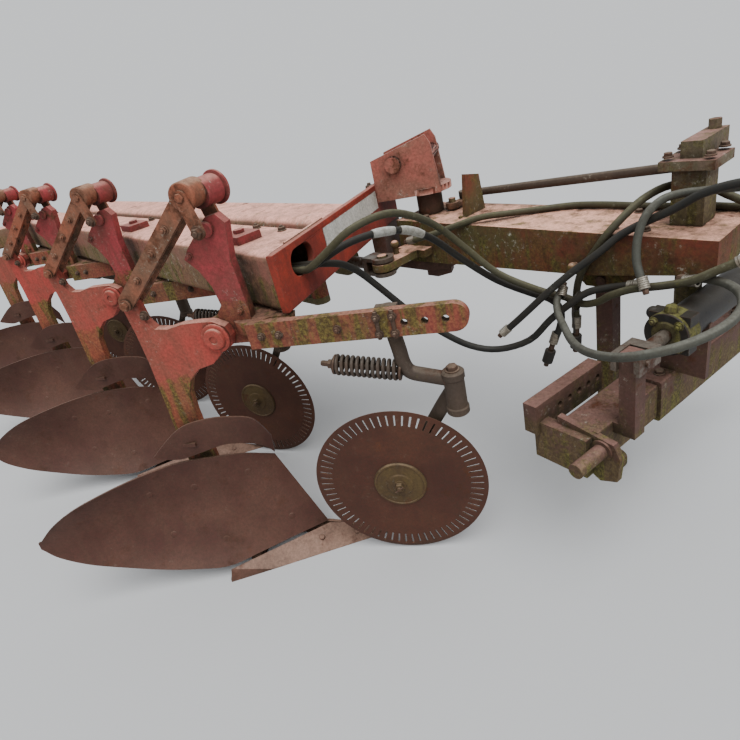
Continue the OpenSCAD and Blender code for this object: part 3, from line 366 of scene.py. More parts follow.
@dataclass(frozen=True)
class Finish:
    """A weathered metal or rubber surface, from its clean colour to what grows on it."""

    name: str
    slot: str
    base: Colour
    second: Colour
    # Colour of up-facing surfaces: partly sun-faded paint, partly painted light from above.
    top: Colour
    rust_tint: Colour = (0.13, 0.045, 0.022)
    rust: float = 0.35
    moss: float = 0.3
    lichen: float = 0.3
    edge: Colour = (0.10, 0.05, 0.035)
    rough: float = 0.72
    metallic: float = 0.0
    bump: float = 0.35
    coarse: float = 0.6
    damp_top: float = 0.0
    damp: float = 0.0
    shine: float = 0.22
    # Colour of dirt films and mottling, and also of the painted shade in corners.
    dirt_and_shade: Colour = (0.028, 0.02, 0.012)

    def material(self) -> bpy.types.Material:
        """The Blender material, made once and shared."""
        found = bpy.data.materials.get(self.name)
        return found if found else self.build()

    def build(self) -> bpy.types.Material:
        """Builds the material's nodes from the shared groups.

        Returns:
            The material.
        """
        material = bpy.data.materials.new(self.name)
        material.use_nodes = True
        tree = Tree(material.node_tree)
        shader = material.node_tree.nodes["Principled BSDF"]
        weather = tree.add("ShaderNodeGroup", node_tree=WEATHER, Rust=self.rust, Moss=self.moss,
                           Lichen=self.lichen, Damp_Top=self.damp_top, Damp=self.damp).outputs
        corners = tree.add("ShaderNodeGroup", node_tree=EDGE, Width=EDGE_WIDTH).outputs
        height = tree.add("ShaderNodeGroup", node_tree=PITTING, Coarse=self.coarse,
                          Fine=0.35).outputs["Height"]
        colour = tree.mix(self.base, self.second, tree.step(weather["Tone"], 0.35, 0.68))
        # Up-facing surfaces take the top colour: partly sun-faded paint, partly painted light from above.
        colour = tree.mix(colour, self.top, weather["Faded And Lit Top Mask"])
        colour = tree.cover(colour, self.second, weather["Streak"], 0.35)
        film = tree.mix(self.dirt_and_shade, self.second, 0.35)
        colour = tree.cover(colour, film, weather["Dirt"], 0.42)
        deep = tuple(c * 0.45 for c in self.rust_tint)
        rust = tree.mix(deep, self.rust_tint, tree.step(weather["Tone"], 0.3, 0.7))
        colour = tree.mix(colour, rust, weather["Rust Mask"])
        colour = tree.cover(colour, self.edge, corners["Edge"], 0.8)
        moss = tree.mix(MOSS_DEEP, MOSS_BRIGHT, weather["Mottle"])
        colour = tree.cover(colour, moss, weather["Moss Mask"], 0.82)
        colour = tree.cover(colour, self.dirt_and_shade, tree.rest(weather["Mottle"]), 0.4)
        colour = tree.mix(colour, LICHEN, weather["Lichen Mask"])
        # Painted shade: corners and creases darkened where ambient occlusion finds them.
        colour = tree.cover(colour, self.dirt_and_shade, corners["Painted Shade"], 0.75)
        tree.feed(shader.inputs["Base Color"], colour)
        worn = tree.maths("ADD", weather["Rust Mask"], weather["Moss Mask"])
        rough = tree.maths("ADD", self.rough, tree.times(worn, 0.18))
        tree.feed(shader.inputs["Roughness"], rough)
        shader.inputs["Metallic"].default_value = self.metallic
        shader.inputs["Specular IOR Level"].default_value = self.shine
        raised = tree.maths("ADD", tree.times(height, 0.7), tree.times(worn, 0.3))
        bump = tree.add("ShaderNodeBump", Strength=self.bump, Distance=BUMP_DEPTH, Height=raised)
        tree.feed(shader.inputs["Normal"], bump.outputs[0])
        return material


class Paint(Enum):
    """Every finish on the plough."""

    BEAM = Finish("beam_paint", "red_paint", (0.27, 0.1, 0.075), (0.2, 0.13, 0.08),
                  (0.9, 0.46, 0.36), rust=0.42, moss=0.55, lichen=0.9, damp_top=0.95, damp=0.85)
    PLATE = Finish("plate_paint", "red_paint", (0.34, 0.038, 0.02), (0.16, 0.022, 0.017),
                   (0.42, 0.17, 0.13), rust=0.36, moss=0.2, lichen=0.2)
    STANDARD = Finish("standard_paint", "red_paint", (0.42, 0.058, 0.046), (0.26, 0.075, 0.05),
                      (0.55, 0.25, 0.19), rust=0.4, moss=0.42, lichen=0.3, damp_top=0.72, damp=0.85)
    BRACKET = Finish("bracket_paint", "red_paint", (0.34, 0.042, 0.05), (0.17, 0.05, 0.04),
                     (0.44, 0.18, 0.15), rust=0.45, moss=0.35, lichen=0.35, damp_top=0.93, damp=0.95)
    HEAD = Finish("head_paint", "red_paint", (0.42, 0.11, 0.085), (0.3, 0.13, 0.09),
                  (0.5, 0.26, 0.21), rust=0.45, moss=0.3, lichen=0.5)
    TONGUE = Finish("tongue_paint", "red_paint", (0.16, 0.035, 0.02), (0.09, 0.08, 0.03),
                    (0.88, 0.47, 0.34), rust=0.5, moss=0.66, lichen=0.75, damp_top=0.8, damp=0.25)
    HITCH = Finish("hitch_rust", "rust", (0.085, 0.04, 0.033), (0.12, 0.062, 0.045),
                   (0.2, 0.105, 0.085), rust=0.45, moss=0.55, lichen=0.4, coarse=0.8,
                   damp_top=0.52, damp=0.4)
    POST = Finish("post_rust", "rust", (0.15, 0.095, 0.07), (0.12, 0.11, 0.06),
                  (0.32, 0.17, 0.14), rust=0.5, moss=0.65, lichen=0.7, coarse=0.8,
                  damp_top=0.97, damp=0.4)
    LINK = Finish("link_rust", "rust", (0.32, 0.095, 0.05), (0.17, 0.09, 0.055),
                  (0.36, 0.2, 0.13), rust=0.55, moss=0.45, lichen=0.5)
    BOARD = Finish("board_rust", "rust_dark", (0.066, 0.024, 0.018), (0.1, 0.043, 0.03),
                   (0.13, 0.07, 0.05), rust_tint=(0.1, 0.04, 0.026), rust=0.5, moss=0.16,
                   lichen=0.05, rough=0.56, bump=0.25, coarse=0.9)
    SHARE = Finish("share_steel", "rust_dark", (0.15, 0.07, 0.05), (0.1, 0.045, 0.032),
                   (0.24, 0.14, 0.1), rust_tint=(0.14, 0.06, 0.04), rust=0.5, moss=0.1,
                   lichen=0.05, rough=0.55, bump=0.25)
    DISC = Finish("disc_rust", "rust_dark", (0.055, 0.018, 0.012), (0.085, 0.03, 0.017),
                  (0.2, 0.1, 0.06), rust_tint=(0.12, 0.04, 0.018), rust=0.42, moss=0.12,
                  lichen=0.04, rough=0.66, bump=0.3, coarse=0.9)
    HUB = Finish("hub_cover", "rust_dark", (0.095, 0.062, 0.022), (0.065, 0.036, 0.018),
                 (0.2, 0.14, 0.08), rust=0.42, moss=0.4, lichen=0.15)
    ARM = Finish("arm_casting", "rust", (0.055, 0.04, 0.032), (0.075, 0.05, 0.034),
                 (0.13, 0.1, 0.075), rust=0.42, moss=0.42, lichen=0.3, coarse=0.8)
    SPRING = Finish("spring_steel", "rust", (0.06, 0.052, 0.046), (0.1, 0.065, 0.045),
                    (0.14, 0.12, 0.1), rust=0.4, moss=0.2, lichen=0.3)
    OLIVE = Finish("olive_paint", "mossy_paint", (0.13, 0.105, 0.05), (0.1, 0.1, 0.045),
                   (0.3, 0.25, 0.17), rust=0.45, moss=0.6, lichen=0.5)
    DARK = Finish("dark_weathered", "dark_paint", (0.013, 0.013, 0.014), (0.022, 0.02, 0.017),
                  (0.036, 0.034, 0.03), rust=0.35, moss=0.4, lichen=0.15, rough=0.55)
    GLAND = Finish("gland_moss", "rust", (0.07, 0.055, 0.03), (0.1, 0.1, 0.04),
                   (0.17, 0.165, 0.06), rust=0.4, moss=0.85, lichen=0.4, coarse=0.9)
    ROD = Finish("plated_rod", "chrome", (0.16, 0.135, 0.11), (0.09, 0.062, 0.046),
                 (0.2, 0.17, 0.14), rust=0.56, moss=0.45, lichen=0.0, rough=0.4, metallic=0.4,
                 bump=0.12)
    BOLT = Finish("bolt_rust", "rust", (0.1, 0.055, 0.038), (0.065, 0.042, 0.03),
                  (0.2, 0.14, 0.1), rust=0.5, moss=0.3, lichen=0.3)
    STEEL = Finish("zinc_fitting", "rust", (0.36, 0.33, 0.27), (0.24, 0.2, 0.15),
                   (0.42, 0.4, 0.34), rust=0.42, moss=0.15, lichen=0.1, rough=0.45, metallic=0.5)
    PALE = Finish("pale_crimp", "hose", (0.5, 0.5, 0.46), (0.38, 0.36, 0.3), (0.56, 0.56, 0.52),
                  rust=0.3, moss=0.15, lichen=0.0, rough=0.5, metallic=0.2, bump=0.15)
    WHITE = Finish("white_strip", "red_paint", (0.62, 0.6, 0.55), (0.5, 0.47, 0.41),
                   (0.62, 0.6, 0.55), rust=0.28, moss=0.25, lichen=0.1, bump=0.15)
    TYRE = Finish("tyre_rubber", "tyre", (0.028, 0.028, 0.027), (0.045, 0.043, 0.038),
                  (0.075, 0.072, 0.062), rust_tint=(0.07, 0.06, 0.045), rust=0.3, moss=0.3,
                  lichen=0.15, rough=0.82, bump=0.3)
    HOSE_BLACK = Finish("hose_black", "hose", (0.012, 0.013, 0.013), (0.02, 0.021, 0.019),
                        (0.034, 0.034, 0.03), rust_tint=(0.06, 0.05, 0.035), rust=0.15, moss=0.3,
                        lichen=0.12, rough=0.62, bump=0.2)
    HOSE_OLIVE = Finish("hose_olive", "hose", (0.042, 0.042, 0.026), (0.065, 0.06, 0.03),
                        (0.105, 0.1, 0.06), rust_tint=(0.07, 0.06, 0.035), rust=0.15, moss=0.5,
                        lichen=0.15, rough=0.7, bump=0.25)
    HOSE_GREY = Finish("hose_grey", "hose", (0.052, 0.056, 0.048), (0.07, 0.07, 0.055),
                       (0.12, 0.12, 0.1), rust_tint=(0.09, 0.075, 0.05), rust=0.15, moss=0.4,
                       lichen=0.15, rough=0.7, bump=0.25)

    def material(self) -> bpy.types.Material:
        """The finish's Blender material."""
        return self.value.material()


# Shapes
@dataclass
class Shape:
    """Gathers the faces of one piece, in metres in the row frame."""

    name: str
    points: list[Vector] = field(default_factory=list)
    faces: list[tuple[int, ...]] = field(default_factory=list)
    paints: list[Paint] = field(default_factory=list)
    marks: list[int] = field(default_factory=list)

    def add(self, points: list[Vector], faces: list[tuple[int, ...]], paint: Paint,
            at: Matrix) -> None:
        """Adds a closed form given in millimetres.

        Args:
            points: its corners.
            faces: its faces by corner.
            paint: the finish.
            at: the frame it is given in.
        """
        if paint not in self.paints:
            self.paints.append(paint)
        mark = self.paints.index(paint)
        start = len(self.points)
        self.points += [at @ (Vector(p) * MM) for p in points]
        self.faces += [tuple(i + start for i in f) for f in faces]
        self.marks += [mark] * len(faces)

    def box(self, low: Row, size: Row, paint: Paint, at: Matrix) -> None:
        """A rectangular block.

        Args:
            low: its lowest corner.
            size: its width, depth and height.
            paint: the finish.
            at: the frame.
        """
        x, y, z = low
        w, d, h = size
        points = [Vector((x + i * w, y + j * d, z + k * h))
                  for k in (0, 1) for j in (0, 1) for i in (0, 1)]
        faces = [(0, 2, 3, 1), (4, 5, 7, 6), (0, 1, 5, 4), (2, 6, 7, 3), (0, 4, 6, 2), (1, 3, 7, 5)]
        self.add(points, faces, paint, at)

    def lathe(self, profile: list[tuple[float, float]], sides: int, paint: Paint, at: Matrix) -> None:
        """Turns a profile of radius and height about the frame's Z.

        Args:
            profile: radius and height pairs, from the bottom to the top.
            sides: how many sides the form has.
            paint: the finish.
            at: the frame.
        """
        points, faces, rings = [], [], []
        for r, z in profile:
            if r < 1e-6:
                rings.append([len(points)] * sides)
                points.append(Vector((0, 0, z)))
                continue
            rings.append(list(range(len(points), len(points) + sides)))
            for s in range(sides):
                a = 2 * math.pi * s / sides
                points.append(Vector((r * math.cos(a), r * math.sin(a), z)))
        for low, high in zip(rings, rings[1:]):
            for s in range(sides):
                t = (s + 1) % sides
                face = list(dict.fromkeys((low[s], low[t], high[t], high[s])))
                if len(face) > 2:
                    faces.append(tuple(face))
        self.add(points, faces, paint, at)

    def pin(self, r: float, length: float, sides: int, paint: Paint, at: Matrix) -> None:
        """A plain round pin that stands on the frame's XY plane."""
        self.lathe([(0, 0), (r, 0), (r, length), (0, length)], sides, paint, at)

    def ring(self, profile: list[tuple[float, float]], sides: int, paint: Paint, at: Matrix) -> None:
        """Turns a closed profile about the frame's Z, as for a tyre.

        Args:
            profile: radius and height pairs, all the way round.
            sides: how many sides the form has.
            paint: the finish.
            at: the frame.
        """
        points, faces = [], []
        n = len(profile)
        for s in range(sides):
            a = 2 * math.pi * s / sides
            points += [Vector((r * math.cos(a), r * math.sin(a), z)) for r, z in profile]
        for s in range(sides):
            for i in range(n):
                j, t = (i + 1) % n, (s + 1) % sides
                faces.append((s * n + i, t * n + i, t * n + j, s * n + j))
        self.add(points, faces, paint, at)

    def tube(self, path: list[Vector], radii: list[float], sides: int, paint: Paint, at: Matrix,
             flat: float = 1.0) -> None:
        """Sweeps a round or oval section along a path.

        Args:
            path: the points that it follows, in millimetres.
            radii: its radius at each point.
            sides: sides of the section.
            paint: the finish.
            at: the frame.
            flat: how much flatter the section is in its second direction.
        """
        points, faces = [], []
        n = len(path)
        side = None
        for i, p in enumerate(path):
            ahead = (path[min(i + 1, n - 1)] - path[max(i - 1, 0)]).normalized()
            if side is None:
                side = ahead.cross(Vector((0, 0, 1)))
                if side.length < 0.1:
                    side = Vector((0, 1, 0))
            side = (side - ahead * side.dot(ahead)).normalized()
            up = side.cross(ahead).normalized()
            for s in range(sides):
                a = 2 * math.pi * s / sides
                points.append(p + radii[i] * (side * flat * math.cos(a) + up * math.sin(a)))
        for i in range(n - 1):
            for s in range(sides):
                t = (s + 1) % sides
                faces.append((i * sides + s, i * sides + t, (i + 1) * sides + t, (i + 1) * sides + s))
        faces.append(tuple(reversed(range(sides))))
        faces.append(tuple(range((n - 1) * sides, n * sides)))
        self.add(points, faces, paint, at)

    def sheet(self, front: list[list[Vector]], back: list[list[Vector]], paint: Paint, at: Matrix) -> None:
        """Closes two grids of points into a bent plate.

        Args:
            front: rows of points of one face.
            back: the matching rows of the other face.
            paint: the finish.
            at: the frame.
        """
        rows, cols = len(front), len(front[0])
        points = [p for row in front for p in row] + [p for row in back for p in row]
        n = rows * cols
        faces = []
        for i in range(rows - 1):
            for j in range(cols - 1):
                a = i * cols + j
                faces.append((a, a + cols, a + cols + 1, a + 1))
                faces.append((a + n, a + 1 + n, a + cols + 1 + n, a + cols + n))
        for j in range(cols - 1):
            a, b = j, (rows - 1) * cols + j
            faces.append((a, a + 1, a + 1 + n, a + n))
            faces.append((b + 1, b, b + n, b + 1 + n))
        for i in range(rows - 1):
            a, b = i * cols, i * cols + cols - 1
            faces.append((a + cols, a, a + n, a + cols + n))
            faces.append((b, b + cols, b + cols + n, b + n))
        self.add(points, faces, paint, at)

    def plate(self, outline: list[tuple[float, float]], y0: float, y1: float, paint: Paint,
              at: Matrix) -> None:
        """An upright plate.

        Args:
            outline: its corners in x and z.
            y0: where its thickness starts.
            y1: where it ends.
            paint: the finish.
            at: the frame.
        """
        n = len(outline)
        points = [Vector((x, y, z)) for y in (y0, y1) for x, z in outline]
        faces = [tuple(range(n)), tuple(reversed(range(n, 2 * n)))]
        faces += [(i, i + n, (i + 1) % n + n, (i + 1) % n) for i in range(n)]
        self.add(points, faces, paint, at)

    def bar(self, a: Row, b: Row, width: float, y0: float, y1: float, paint: Paint, at: Matrix) -> None:
        """A flat bar with round ends.

        Args:
            a: the middle of one end in x and z.
            b: the middle of the other.
            width: its width.
            y0: where its thickness starts.
            y1: where it ends.
            paint: the finish.
            at: the frame.
        """
        arc = 12
        start, end = Vector(a), Vector(b)
        lean = math.atan2(end.y - start.y, end.x - start.x)
        outline = []
        for centre, first in ((end, lean - math.pi / 2), (start, lean + math.pi / 2)):
            for i in range(arc + 1):
                turned = first + math.pi * i / arc
                outline.append((centre.x + width / 2 * math.cos(turned),
                                centre.y + width / 2 * math.sin(turned)))
        self.plate(outline, y0, y1, paint, at)

    def bolt(self, at: Matrix, r: float, paint: Paint = Paint.BOLT, washer: bool = True,
             thread: float = 0.0) -> None:
        """A hexagon head or nut that stands on the frame's XY plane.

        Args:
            at: the frame, with Z out of the surface.
            r: the radius across its corners.
            paint: the finish.
            washer: whether a washer lies below it.
            thread: how far a threaded end stands out of it.
        """
        z = 0.0
        if washer:
            z = 3.0
            wide = r * 1.25
            self.lathe([(0, -1), (wide, -1), (wide, 2.2), (r * 1.15, z), (0, z)], 24, paint, at)
        h = r * 0.75
        head = [(0, z - 1), (r, z - 1), (r, z + h * 0.85), (r * 0.86, z + h), (0, z + h)]
        self.lathe(head, 6, paint, at)
        if thread:
            pitch = 1.5
            rows = [(0, z)]
            for i in range(int(thread / pitch)):
                rows += [(r * 0.5, z + h + i * pitch), (r * 0.45, z + h + i * pitch + pitch / 2)]
            self.lathe(rows + [(r * 0.4, z + h + thread), (0, z + h + thread)], 16, paint, at)

    def make(self, body: str | None, angle: float = 32.0, bevel: float = 0.0) -> bpy.types.Object:
        """Makes the Blender object and lets it ride.

        Args:
            body: the CAD body that carries it, or None if the caller attaches it or leaves it unattached.
            angle: edges sharper than this stay sharp.
            bevel: width of a small bevel in metres, or 0.
        Returns:
            The object.
        """
        mesh = bpy.data.meshes.new(self.name)
        mesh.from_pydata([tuple(p) for p in self.points], [], self.faces)
        for paint in self.paints:
            mesh.materials.append(paint.material())
        mesh.polygons.foreach_set("material_index", self.marks)
        mesh.update()
        mesh.validate()
        mesh.shade_smooth()
        mesh.set_sharp_from_angle(angle=math.radians(angle))
        piece = bpy.data.objects.new(self.name, mesh)
        bpy.context.scene.collection.objects.link(piece)
        if bevel:
            soften(piece, bevel)
        if body:
            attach(piece, body)
        LOG.info("%s: %d faces", self.name, len(mesh.polygons))
        return piece


def soften(piece: bpy.types.Object, width: float) -> None:
    """Adds a small bevel on sharp edges.

    Args:
        piece: the object.
        width: the bevel's width in metres.
    """
    bevel = piece.modifiers.new("soft_edges", "BEVEL")
    bevel.width = width
    bevel.segments = 2
    bevel.limit_method = "ANGLE"
    bevel.angle_limit = math.radians(40)


# Hoses
class End(Enum):
    """What a hose ends in: lengths and radii from the end inwards, in millimetres."""

    PLAIN = ()
    JOINED = ((36.0, 13.0), (12.0, 15.0))
    SCREWED = ((30.0, 13.0), (12.0, 8.0))
    COUPLED = ((38.0, 13.0), (24.0, 9.0), (42.0, 16.0), (14.0, 8.0))


@dataclass(frozen=True)
class Hose:
    """One hydraulic hose: its route in the tongue's frame in metres, its ends and what it follows."""

    name: str
    route: tuple[Row, ...]
    start: End
    finish: End
    paint: Paint
    far_end: str
    follows: tuple[str, ...]
    bend_from: Row = ()
    bend_to: Row = ()
    crimps: tuple[tuple[int, int], ...] = ()
    radius: float = 10.0
    sides: int = 16
    steps: int = 4

    def build(self) -> None:
        smooth = dense(self.route, self.steps)
        line = [p / MM for p in smooth]
        path = [TONGUE @ p for p in smooth]
        length = sum((b - a).length for a, b in zip(path, path[1:]))
        tube = Shape(self.name + "_tube")
        tube.tube(line, [self.radius] * len(line), self.sides, self.paint, TONGUE)
        hose = tube.make(None, 60)
        ends = []
        for tag, fitting, points in (("start", self.start, line), ("end", self.finish, line[::-1])):
            if fitting.value:
                ends.append(self.fitting(tag, fitting, points))
        bands = [self.crimp(i, line[a:b + 1]) for i, (a, b) in enumerate(self.crimps)]
        for piece in (hose, *bands):
            self.carry(piece)
        for end in ends:
            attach(end, self.follows[-1])
        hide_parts(self.name)
        tuple(path[0])
        [tuple(p) for p in path]
        LOG.info("%s: %.3f m long", self.name, length)

    def carry(self, piece: bpy.types.Object) -> None:
        """Lets a piece follow one body; a piece of a hose that runs between two bodies is only baked in
        place.

        Args:
            piece: the tube or a sleeve on it.
        """
        if self.bend_from:
            start, end = (tuple(TONGUE @ (Vector(p) * MM)) for p in (self.bend_from, self.bend_to))
            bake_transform(piece)
            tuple(start)
            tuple(end)
        else:
            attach(piece, self.follows[0])

    def crimp(self, index: int, points: list[Vector]) -> bpy.types.Object:
        """A pale pressed sleeve round the hose.

        Args:
            index: its number along the hose, from 0.
            points: the stretch of the hose's line that it covers.
        Returns:
            The piece.
        """
        shape = Shape(f"{self.name}_crimp_{index + 1}")
        sizes = [self.radius + 2.6] * len(points)
        sizes[0] = sizes[-1] = self.radius + 1.2
        shape.tube(points, sizes, 18, Paint.PALE, TONGUE)
        return shape.make(None, 40)

    def fitting(self, tag: str, end: End, points: list[Vector]) -> bpy.types.Object:
        """The crimped ferrule and what is screwed on it, along the hose's first straight run.

        Args:
            tag: which end it is, for the piece's name.
            end: what the hose ends in there.
            points: the hose's line, from this end.
        Returns:
            The piece.
        """
        straight = 2 * self.steps
        at = TONGUE @ facing(points[0], (points[0] - points[straight]).normalized())
        shape = Shape(f"{self.name}_{tag}")
        (length, r), *screwed = end.value
        grooves = 6
        rows = [(self.radius - 1, -length)]
        for c in range(grooves):
            low = -length + c * length / grooves
            high = low + length / grooves
            rows += [(r, low + 0.6), (r, high - 1.4), (r - 0.9, high - 0.7)]
        shape.lathe(rows + [(r - 2, 0), (0, 0)], 20, Paint.STEEL, at)
        low = 0.0
        for length, r in screwed:
            high = low + length
            sides, paint = (6, Paint.BOLT) if r < 16 else (20, Paint.DARK)
            shape.lathe([(0, low - 1), (r * 0.9, low - 1), (r, low + 1.5), (r, high - 1.5),
                         (r * 0.9, high), (0, high)], sides, paint, at)
            low = high
        return shape.make(None, 30)


@dataclass(frozen=True)
class Hoses:
    """The eight hoses between the end plate, the tongue and the hitch, with their tie."""

    runs: tuple[Hose, ...]
    tie_wire: float = 3.2
    tail_wire: float = 3.0

    def build(self) -> None:
        """Builds every hose and the tie that bundles them."""
        for run in self.runs:
            run.build()
        tie = Shape("hose_tie")
        loop = [Vector((636 + 3 * math.sin(a * 0.52), -152 + 25 * math.cos(a * 0.52),
                        656 + 27 * math.sin(a * 0.52))) for a in range(13)]
        tie.tube(loop, [self.tie_wire] * len(loop), 10, Paint.HOSE_BLACK, TONGUE)
        tail = dense(((636, -176, 652), (637, -181, 630), (640, -182, 600), (641, -180, 572)), 5)
        tie.tube(tail, [self.tail_wire] * len(tail), 8, Paint.HOSE_BLACK, TONGUE)
        tie.make("tongue", 60)


UPPER = (
    (0.105, -0.715, 0.905), (0.159, -0.689, 0.905), (0.182, -0.678, 0.908), (0.222, -0.645, 0.940),
    (0.282, -0.600, 0.988), (0.318, -0.520, 1.003), (0.325, -0.440, 0.982), (0.335, -0.345, 0.922),
    (0.362, -0.275, 0.840), (0.432, -0.222, 0.745), (0.532, -0.178, 0.688), (0.600, -0.152, 0.664),
    (0.650, -0.150, 0.650), (0.700, -0.160, 0.668), (0.745, -0.176, 0.700), (0.800, -0.177, 0.724),
    (0.870, -0.176, 0.741), (0.930, -0.177, 0.760), (0.985, -0.166, 0.790), (1.045, -0.152, 0.822))
MIDDLE = (
    (0.096, -0.696, 0.903), (0.150, -0.670, 0.903), (0.172, -0.660, 0.906), (0.205, -0.632, 0.925),
    (0.232, -0.585, 0.943), (0.248, -0.520, 0.946), (0.260, -0.450, 0.937), (0.276, -0.380, 0.915),
    (0.300, -0.318, 0.868), (0.340, -0.262, 0.795), (0.412, -0.205, 0.715), (0.500, -0.165, 0.668),
    (0.545, -0.150, 0.652), (0.575, -0.148, 0.632), (0.585, -0.152, 0.600), (0.578, -0.158, 0.560),
    (0.560, -0.164, 0.515))
LOWER = (
    (0.087, -0.677, 0.905), (0.141, -0.651, 0.905), (0.163, -0.640, 0.905), (0.186, -0.612, 0.898),
    (0.190, -0.570, 0.878), (0.188, -0.520, 0.835), (0.210, -0.475, 0.770), (0.252, -0.420, 0.680),
    (0.302, -0.360, 0.597), (0.362, -0.302, 0.532), (0.430, -0.252, 0.510), (0.510, -0.207, 0.536),
    (0.575, -0.195, 0.608), (0.625, -0.178, 0.655), (0.670, -0.160, 0.690), (0.720, -0.151, 0.706),
    (0.770, -0.150, 0.718), (0.810, -0.150, 0.727))
LOOP = (
    (0.904, -0.150, 0.748), (0.944, -0.150, 0.757), (1.000, -0.172, 0.760), (1.045, -0.225, 0.762),
    (1.068, -0.300, 0.762), (1.060, -0.385, 0.758), (1.010, -0.455, 0.742), (0.920, -0.478, 0.712),
    (0.820, -0.430, 0.676), (0.730, -0.345, 0.645), (0.660, -0.265, 0.638), (0.618, -0.222, 0.650),
    (0.602, -0.196, 0.676), (0.606, -0.168, 0.703))
TOP = (
    (0.050, -0.188, 0.806), (0.110, -0.176, 0.818), (0.170, -0.152, 0.833), (0.230, -0.124, 0.850),
    (0.290, -0.085, 0.862), (0.350, -0.030, 0.858), (0.420, 0.035, 0.852), (0.500, 0.080, 0.851),
    (0.590, 0.092, 0.850), (0.680, 0.092, 0.848), (0.770, 0.096, 0.846), (0.850, 0.108, 0.845),
    (0.930, 0.108, 0.843), (1.000, 0.110, 0.846), (1.050, 0.112, 0.850))
FEED = (
    (0.455, -0.262, 0.572), (0.500, -0.242, 0.615), (0.580, -0.207, 0.697), (0.640, -0.183, 0.752),
    (0.704, -0.156, 0.804), (0.745, -0.130, 0.842), (0.800, -0.112, 0.872), (0.860, -0.106, 0.902),
    (0.915, -0.101, 0.935), (0.980, -0.099, 0.955), (1.050, -0.098, 0.962))
HUNG = (
    (0.615, -0.126, 0.560), (0.617, -0.126, 0.640), (0.625, -0.126, 0.700), (0.645, -0.127, 0.748),
    (0.680, -0.127, 0.800), (0.710, -0.123, 0.843), (0.738, -0.080, 0.882), (0.758, -0.020, 0.905),
    (0.790, 0.045, 0.915), (0.850, 0.086, 0.905), (0.905, 0.086, 0.880), (0.960, 0.075, 0.862),
    (1.010, 0.055, 0.862), (1.050, 0.045, 0.868))
RETURN = (
    (1.050, -0.060, 0.935), (0.980, -0.062, 0.938), (0.910, -0.068, 0.932), (0.862, -0.075, 0.928),
    (0.828, -0.098, 0.920), (0.806, -0.130, 0.892), (0.800, -0.155, 0.850), (0.806, -0.175, 0.803),
    (0.822, -0.190, 0.768), (0.840, -0.202, 0.738))
FRAME_TONGUE = ("main_frame", "tongue")
TONGUE_HITCH = ("tongue", "hitch")
HOSES = Hoses((
    Hose("hose_upper", UPPER, End.PLAIN, End.COUPLED, Paint.HOSE_OLIVE, "connector", FRAME_TONGUE,
         (190, -670, 905), (420, -220, 760)),
    Hose("hose_middle", MIDDLE, End.PLAIN, End.COUPLED, Paint.HOSE_BLACK, "connector", FRAME_TONGUE,
         (180, -660, 905), (420, -200, 720), ((21, 25), (26, 30))),
    Hose("hose_lower", LOWER, End.PLAIN, End.JOINED, Paint.HOSE_BLACK, "fitting", FRAME_TONGUE,
         (170, -640, 905), (430, -252, 520)),
    Hose("hose_loop", LOOP, End.JOINED, End.SCREWED, Paint.HOSE_GREY, "object",
         ("tongue", "hitch", "tongue"), (900, -200, 760), (900, -400, 760)),
    Hose("hose_top", TOP, End.SCREWED, End.COUPLED, Paint.HOSE_OLIVE, "connector", ("tongue",)),
    Hose("hose_feed", FEED, End.SCREWED, End.COUPLED, Paint.HOSE_BLACK, "connector", ("tongue",)),
    Hose("hose_hung", HUNG, End.COUPLED, End.COUPLED, Paint.HOSE_OLIVE, "connector", ("tongue",)),
    Hose("hose_return", RETURN, End.COUPLED, End.SCREWED, Paint.HOSE_GREY, "object", TONGUE_HITCH,
         (806, -130, 880), (830, -195, 740)),
))


